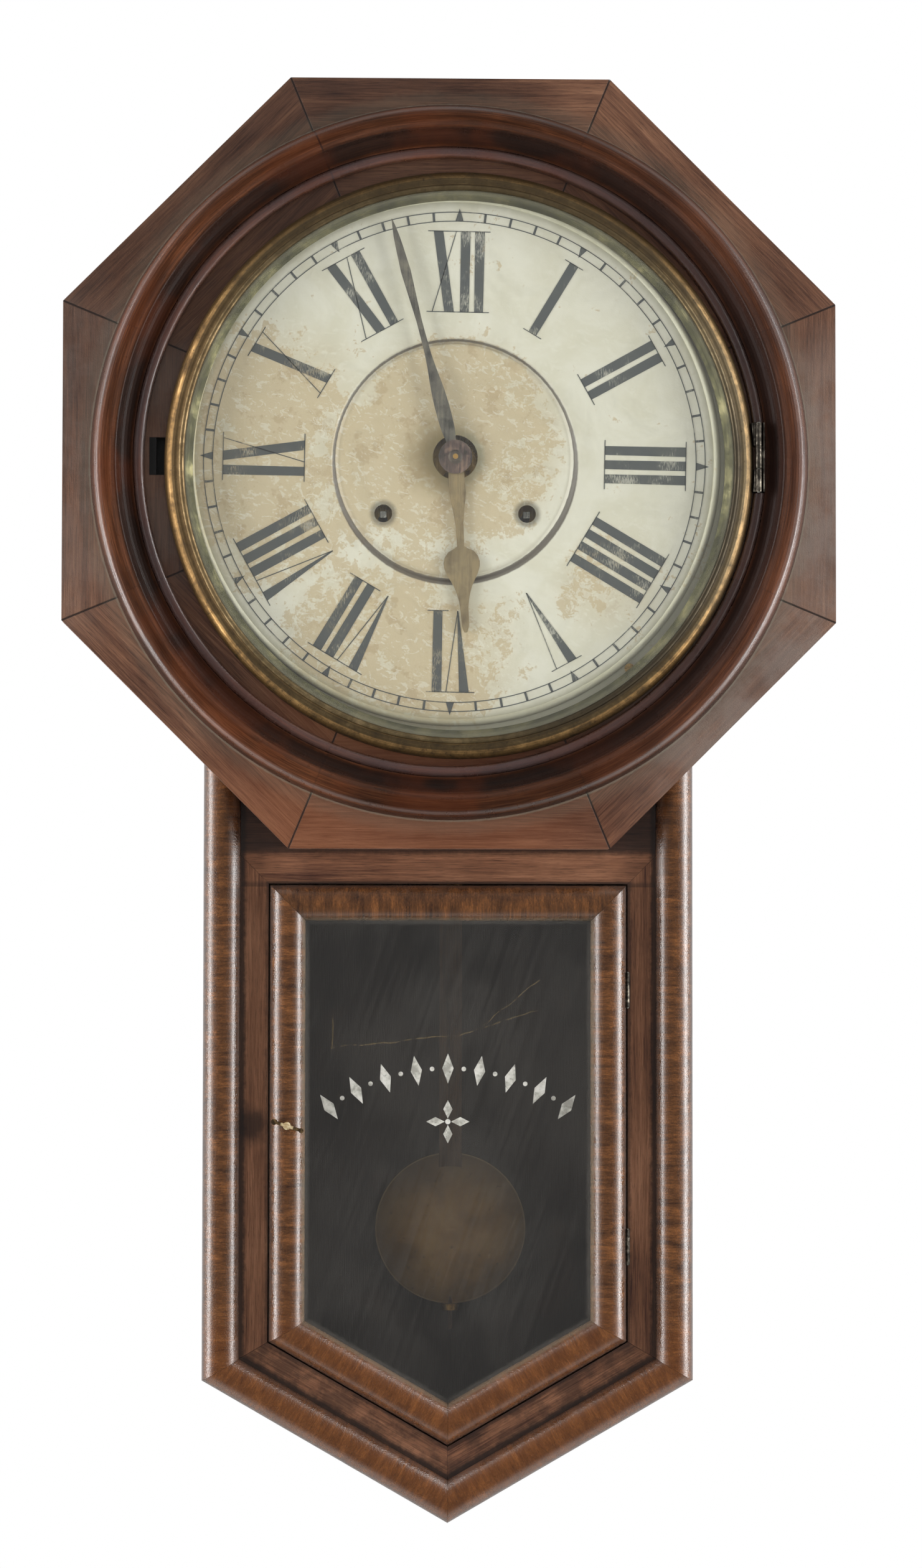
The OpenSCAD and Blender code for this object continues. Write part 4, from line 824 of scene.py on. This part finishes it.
def door_pane():
    """Smoky old pane: wiped streaks, cloudy dust, dusty edges and a few scratches."""
    g = Graph("door glass")
    slant = g.plus(g.z, g.times(g.x, 0.6))
    cross = g.minus(g.x, g.times(g.z, 0.35))
    wipe = g.noise(g.vector(g.times(slant, 0.012), g.times(cross, 0.35), 0.0), 1.0, 4, 0.65, 0.5)
    cloud = g.noise(g.mm, 0.013, 5, 0.6, 0.4)
    film = g.span(weighed(g, (wipe, 0.35), (cloud, 0.65)), 0.38, 0.64, 0.01, 0.13)
    side, v, in_v, _, _ = trunk_frame(g)
    edge = g.span(ragged(g, pick(g, in_v, side, v), 1.5), *PANE_EDGE, 0.40, 0.0)
    under = g.minus(DOOR_TOP - DOOR_W, g.z)
    top_edge = g.span(ragged(g, under, 1.2), *PANE_TOP_EDGE, 0.35, 0.0)
    spots = g.span(g.noise(g.mm, 0.45, 2, 0.6), 0.77, 0.80, 0.0, 0.30)
    film = g.most(g.most(film, spots), g.most(edge, top_edge))
    scratched = 0.0
    for start, end, width in SCRATCHES:
        scratched = g.most(scratched, line_mark(g, start, end, width))
    glass = thin_glass(g, SMOKY_TINT, 0.022, 0.10)
    dusty = blend(g, film, glass, matt(g, FILM, 0.3))
    return g.finish(blend(g, g.times(scratched, 0.22), dusty, matt(g, SCRATCH, 0.3)))


def dress_all():
    """Give every CAD node its material."""
    side = three("2f1d16", "513527", "6a4734")
    pine = three("6d4f33", "94734c", "b08f63")
    rod = three("4a3526", "7a5c3f", "96754f")
    reflector = three("25251a", "45432f", "726c4e")
    dark = three("151412", "35312c", "7c7569")
    aged = three("2c2417", "6b5632", "94794a")
    bronze = three("5b4e35", "76674a", "8b7a57")
    nut = three("28231f", "4a4139", "6e6459")
    plate = three("6f5530", "a38248", "c4a565")
    steel = three("3c3a36", "6d6c66", "94938b")
    iron = three("2b2623", "4d4640", "6b6158")
    blued = three("1b2026", "2d3641", "46525e")
    looks = (
        (octagon_wood(), "octagon_frame"),
        (ring_wood(), "ring_moulding"),
        (veneer_wood("trunk veneer"), "trunk_side_mouldings", "trunk_lower_mouldings"),
        (veneer_wood("door veneer", top=True), "door_stiles", "door_rails"),
        (panel_wood(), "front_panel"),
        (board_wood("side boards", side, rough=0.5),
         "left_side_board", "right_side_board", "top_board", "lower_boards"),
        (board_wood("backboard pine", pine, dark_front=True), "backboard"),
        (board_wood("pine blocks", pine, lengthwise=False), "movement_blocks", "glazing_strips"),
        (board_wood("rod wood", rod), "pendulum_rod"),
        (dial_paint(), "dial_pan"),
        (bezel_brass(), "bezel_ring"),
        (turned_brass("sight ring", BEZEL, reflector, 0.5, 0.4), "sight_ring"),
        (bezel_pane(), "bezel_glass"),
        (door_pane(), "door_glass"),
        (worn_metal("hinge metal", dark, 0.28, 0.25),
         "bezel_hinge_leaf", "fixed_hinge_leaves", "door_hinge_leaves"),
        (worn_metal("screw brass", aged, 0.28, 0.3), "case_screws"),
        (latch_brass(), "latch_handle", "latch_tongue"),
        (minute_bronze(), "minute_hand"),
        (worn_metal("hour hand bronze", bronze, 0.45, 0.08, 0.5, (0.06, 0.8)), "hour_hand"),
        (turned_brass("hand nut bronze", HANDS, nut, 0.4, metallic=0.6), "hand_nut"),
        (worn_metal("plate brass", plate, 0.26, 0.04),
         "back_plate", "front_plate", "suspension_cock", "movement_pillars"),
        (turned_brass("time wheels", HANDS, plate, 0.24),
         "centre_wheel", "hour_wheel", "minute_wheel", "third_wheel", "escape_wheel", "time_second_wheel"),
        (turned_brass("time great wheel brass", TIME_SQUARE, plate, 0.24), "time_great_wheel"),
        (turned_brass("strike wheels", STRIKE_SQUARE, plate, 0.24),
         "strike_great_wheel", "count_wheel", "strike_second_wheel", "strike_third_wheel"),
        (worn_metal("steel parts", steel, 0.3, 0.2),
         "hinge_pins", "time_click", "strike_click", "anchor", "crutch", "strike_hammer", "gong_base",
         "suspension_spring"),
        (worn_metal("winding steel", steel, 0.25, 0.3), "time_winding_arbor", "strike_winding_arbor"),
        (worn_metal("hanger iron", iron, 0.45, 0.15), "hanger_plate"),
        (worn_metal("blued springs", blued, 0.25, 0.1), "time_mainspring", "strike_mainspring"),
        (worn_metal("gong steel", blued, 0.3, 0.06), "gong_coil"),
        (bob_brass(), "pendulum_bob"),
        (worn_metal("rating nut brass", plate, 0.3, 0.3), "rating_nut"),
    )
    for material, *names in looks:
        dress(material, *names)


dress_all()


# Thin printing on the dial and on the door glass
LIFT = 0.12
HAIR = 0.5
STROKE = 5.4
GLYPH_W = 12.8
GLYPH_GAP = 2.6
SERIF = 3.2
NUMERAL_IN = 84.4
NUMERAL_OUT = 130.1
TRACK_IN = 135.9
TRACK_OUT = 141.0
TICK_W = 1.3
HOUR_W, HOUR_PAST = 2.1, 1.4
QUARTER_W, QUARTER_PAST = 2.3, 2.2
PRINT_TURN = math.radians(1.05)
NUMERALS = ("XII", "I", "II", "III", "IIII", "V", "VI", "VII", "VIII", "IX", "X", "XI")


def flat_piece(name, polygons, depth, material, body):
    """One thin object from flat polygons given as lists of (x, z) in mm, facing the front."""
    mesh = bpy.data.meshes.new(name)
    bm = bmesh.new()
    for polygon in polygons:
        area = sum(a[0] * b[1] - b[0] * a[1] for a, b in zip(polygon, polygon[1:] + polygon[:1]))
        ordered = polygon if area > 0 else polygon[::-1]
        bm.faces.new([bm.verts.new((x * MM, -depth * MM, z * MM)) for x, z in ordered])
    bm.to_mesh(mesh)
    bm.free()
    mesh.materials.append(material)
    piece = bpy.data.objects.new(name, mesh)
    bpy.context.scene.collection.objects.link(piece)
    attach(piece, body)
    return piece


def stroke(a, b, width_a, width_b):
    """A straight stroke whose ends are level, from point a to point b."""
    half_a, half_b = width_a / 2, width_b / 2
    return [(a[0] - half_a, a[1]), (a[0] + half_a, a[1]), (b[0] + half_b, b[1]), (b[0] - half_b, b[1])]


def numeral(text):
    """Polygons of a Roman numeral, u to the right and v outward, with u centred."""
    low, high = NUMERAL_IN, NUMERAL_OUT
    stem = STROKE / 2
    point = GLYPH_W * 0.55
    shapes = []
    feet = []
    u = 0.0
    for letter in text:
        width = STROKE if letter == "I" else GLYPH_W
        if letter == "I":
            shapes.append(stroke((u + stem, low), (u + stem, high), STROKE - 0.4, STROKE))
        elif letter == "X":
            shapes.append(stroke((u + GLYPH_W - stem - 0.6, low), (u + stem, high), STROKE, STROKE))
            shapes.append(stroke((u, low), (u + GLYPH_W, high), HAIR, HAIR))
        else:
            shapes.append(stroke((u + point, low), (u + stem, high), 0.6, STROKE))
            shapes.append(stroke((u + point, low), (u + GLYPH_W, high), HAIR, HAIR))
        if letter != "V":
            feet.append((u, u + width))
        u += width + GLYPH_GAP
    total = u - GLYPH_GAP
    shapes.append(bar(-SERIF, total + SERIF, high))
    if feet:
        shapes.append(bar(feet[0][0] - SERIF, feet[-1][1] + SERIF, low))
    return [[(p[0] - total / 2, p[1]) for p in shape] for shape in shapes]


def bar(u0, u1, v):
    return [(u0, v - HAIR / 2), (u1, v - HAIR / 2), (u1, v + HAIR / 2), (u0, v + HAIR / 2)]


def turned_to(points, clock_angle):
    """Points (u, v) set upright at an angle clockwise from the top of the dial."""
    s, c = math.sin(clock_angle + PRINT_TURN), math.cos(clock_angle + PRINT_TURN)
    return [(PRINT[0] + v * s + u * c, PRINT[1] + v * c - u * s) for u, v in points]


def circle_line(r, width, pieces=180):
    """A thin ring as a run of quads."""
    quads = []
    for i in range(pieces):
        a0, a1 = (2 * math.pi * k / pieces for k in (i, i + 1))
        inner, outer = r - width / 2, r + width / 2
        quads.append([(PRINT[0] + q * math.cos(a), PRINT[1] + q * math.sin(a))
                      for q, a in ((inner, a0), (outer, a0), (outer, a1), (inner, a1))])
    return quads


def dial_print():
    """Minute track and Roman numerals as one thin printed piece."""
    polygons = circle_line(TRACK_OUT, HAIR) + circle_line(TRACK_IN, HAIR)
    for minute in range(60):
        angle = math.radians(6 * minute)
        if minute % 15 == 0:
            mark = [(-QUARTER_W, TRACK_IN), (QUARTER_W, TRACK_IN), (0.0, TRACK_OUT + QUARTER_PAST)]
        elif minute % 5 == 0:
            mark = [(-HOUR_W, TRACK_OUT), (HOUR_W, TRACK_OUT), (0.0, TRACK_IN - HOUR_PAST)]
        else:
            mark = stroke((0.0, TRACK_IN), (0.0, TRACK_OUT), TICK_W, TICK_W)
        polygons.append(turned_to(mark, angle))
    for hour, text in enumerate(NUMERALS):
        polygons += [turned_to(shape, math.radians(30 * hour)) for shape in numeral(text)]
    return flat_piece("dial_print", polygons, DIAL_FRONT + LIFT, ink_paint(), "case")


GLASS_FRONT = 90.0
ARCH_R = 114.0
ARCH_LOW = -455.0
ARCH_SPREAD = math.radians(72)
LOZENGES = 9
LOZENGE = (3.2, 8.5)
DOT_R = 1.3
LEAVES = 4
LEAF = (2.6, 5.2)
LEAF_R = 7.0
FIGURE_DROP = 30.0
FIGURE_DOT_R = 1.5


def lozenge(x, z, w, h, turn):
    s, c = math.sin(turn), math.cos(turn)
    return [(x + u * c + v * s, z - u * s + v * c) for u, v in ((w, 0), (0, h), (-w, 0), (0, -h))]


def dot(x, z, r):
    return [(x + r * math.cos(a), z + r * math.sin(a)) for a in (2 * math.pi * k / 16 for k in range(16))]


def silvering():
    """Old silver-grey leaf with rubbed patches."""
    g = Graph("silver leaf")
    patch = g.noise(g.mm, 0.12, 5, 0.7)
    colour = g.tones(patch, 0.38, 0.66, SILVER, smooth=True)
    worn = g.span(g.noise(g.mm, 0.5, 4, 0.75), 0.58, 0.68, 0.0, 0.7)
    return g.finish(g.surface(Base_Color=g.mix(worn, colour, SILVER_WORN), Roughness=0.5))


def glass_ornament():
    """A generic arch of lozenges and dots, with a small four-leaf figure under it."""
    polygons = []
    steps = 2 * LOZENGES - 2
    for i in range(steps + 1):
        a = ARCH_SPREAD * (i / steps - 0.5)
        x, z = ARCH_R * math.sin(a), ARCH_LOW + ARCH_R * math.cos(a)
        polygons.append(dot(x, z, DOT_R) if i % 2 else lozenge(x, z, *LOZENGE, a))
    centre = ARCH_LOW + ARCH_R - FIGURE_DROP
    for k in range(LEAVES):
        a = 2 * math.pi * k / LEAVES
        polygons.append(lozenge(LEAF_R * math.sin(a), centre + LEAF_R * math.cos(a), *LEAF, a))
    polygons.append(dot(0.0, centre, FIGURE_DOT_R))
    return flat_piece("glass_ornament", polygons, GLASS_FRONT + LIFT, silvering(), "door")


dial_print()
glass_ornament()


# Stage, in metres: pale floor, soft lights, white surroundings and the camera
FLOOR_Z = -0.82
FLOOR_X = 1.5
FLOOR_FRONT = -2.4
FLOOR_BACK = 0.9
FLOOR_TONES = (rgb("e9e9e7"), rgb("eeeeec"))
WORLD_LIGHT = 0.26
LIGHTS_AIM = (0.0, -0.10, -0.2)
SOFTBOX = (0.45, 2.2)
SOFTBOX_AT = (1.35, -0.45, -0.15)
SOFTBOXES = (("left softbox", -1, 40.0), ("right softbox", 1, 42.0))
SHINE = (0.6, 2.2)
SHINE_AT = (1.2, -0.85, -0.15)
SHINES = (("flank shine", -1, 20.0), ("flank shine", 1, 30.0))
FRONT_LIGHT = (2.2, 1.6)
FRONT_LIGHT_AT = (0.2, -2.4, 2.2)
FRONT_LIGHT_AIM = (0.0, 0.0, -0.2)
FRONT_POWER = 5.0
SENSOR = 36.0
PHOTO_H = 2520
FOCAL_PX = 6851.0
CAMERA_AT = (-0.0572, -2.5, -0.2864)
YAW, PITCH, ROLL = (math.radians(a) for a in (-1.529, 2.519, 0.087))


def soft_light(name, place, power, size, aim=LIGHTS_AIM):
    data = bpy.data.lights.new(name, "AREA")
    data.shape = "RECTANGLE"
    data.size, data.size_y = size
    data.energy = power
    light = bpy.data.objects.new(name, data)
    bpy.context.scene.collection.objects.link(light)
    light.location = place
    light.rotation_euler = (Vector(aim) - Vector(place)).to_track_quat("-Z", "Y").to_euler()
    return light


def make_lights():
    """Strips at the sides, lights for the gloss of the mouldings alone, and a weak front light."""
    for name, side, power in SOFTBOXES:
        soft_light(name, (side * SOFTBOX_AT[0], *SOFTBOX_AT[1:]), power, SOFTBOX)
    for name, side, power in SHINES:
        shine = soft_light(name, (side * SHINE_AT[0], *SHINE_AT[1:]), power, SHINE)
        shine.visible_diffuse = False
    soft_light("front softbox", FRONT_LIGHT_AT, FRONT_POWER, FRONT_LIGHT, FRONT_LIGHT_AIM)


def make_floor():
    mesh = bpy.data.meshes.new("floor")
    plan = ((-FLOOR_X, FLOOR_FRONT), (FLOOR_X, FLOOR_FRONT), (FLOOR_X, FLOOR_BACK), (-FLOOR_X, FLOOR_BACK))
    mesh.from_pydata([(x, y, FLOOR_Z) for x, y in plan], [], [(0, 1, 2, 3)])
    floor = bpy.data.objects.new("floor", mesh)
    bpy.context.scene.collection.objects.link(floor)
    g = Graph("floor")
    tone = g.mix(g.noise(g.mm, 0.01, 3), *FLOOR_TONES)
    mesh.materials.append(g.finish(g.surface(Base_Color=tone, Roughness=0.9)))


def make_world():
    """White where the camera, a reflection or a clear view sees it, and soft light elsewhere."""
    world = bpy.data.worlds.new("studio")
    bpy.context.scene.world = world
    world.use_nodes = True
    tree = world.node_tree
    path = tree.nodes.new("ShaderNodeLightPath")
    seen = tree.nodes.new("ShaderNodeMath")
    seen.use_clamp = True
    also = tree.nodes.new("ShaderNodeMath")
    also.use_clamp = True
    tree.links.new(path.outputs["Is Camera Ray"], seen.inputs[0])
    tree.links.new(path.outputs["Is Glossy Ray"], seen.inputs[1])
    tree.links.new(seen.outputs[0], also.inputs[0])
    tree.links.new(path.outputs["Is Transmission Ray"], also.inputs[1])
    strength = tree.nodes.new("ShaderNodeMapRange")
    strength.inputs["To Min"].default_value = WORLD_LIGHT
    tree.links.new(also.outputs[0], strength.inputs["Value"])
    background = tree.nodes["Background"]
    background.inputs["Color"].default_value = (1.0, 1.0, 1.0, 1.0)
    tree.links.new(strength.outputs["Result"], background.inputs["Strength"])


def make_camera():
    data = bpy.data.cameras.new("camera")
    data.sensor_width = SENSOR
    data.lens = FOCAL_PX * SENSOR / PHOTO_H
    data.clip_start = 0.05
    data.clip_end = 50.0
    camera = bpy.data.objects.new("camera", data)
    bpy.context.scene.collection.objects.link(camera)
    ahead = Vector((-math.sin(YAW) * math.cos(PITCH), math.cos(YAW) * math.cos(PITCH), math.sin(PITCH)))
    right = Vector((math.cos(YAW), math.sin(YAW), 0.0))
    up = right.cross(ahead)
    right, up = right * math.cos(ROLL) + up * math.sin(ROLL), up * math.cos(ROLL) - right * math.sin(ROLL)
    turn = Matrix((right, up, -ahead)).transposed().to_4x4()
    camera.matrix_world = Matrix.Translation(CAMERA_AT) @ turn
    bpy.context.scene.camera = camera


make_floor()
make_world()
make_lights()
make_camera()
bpy.context.scene.view_settings.view_transform = "Standard"
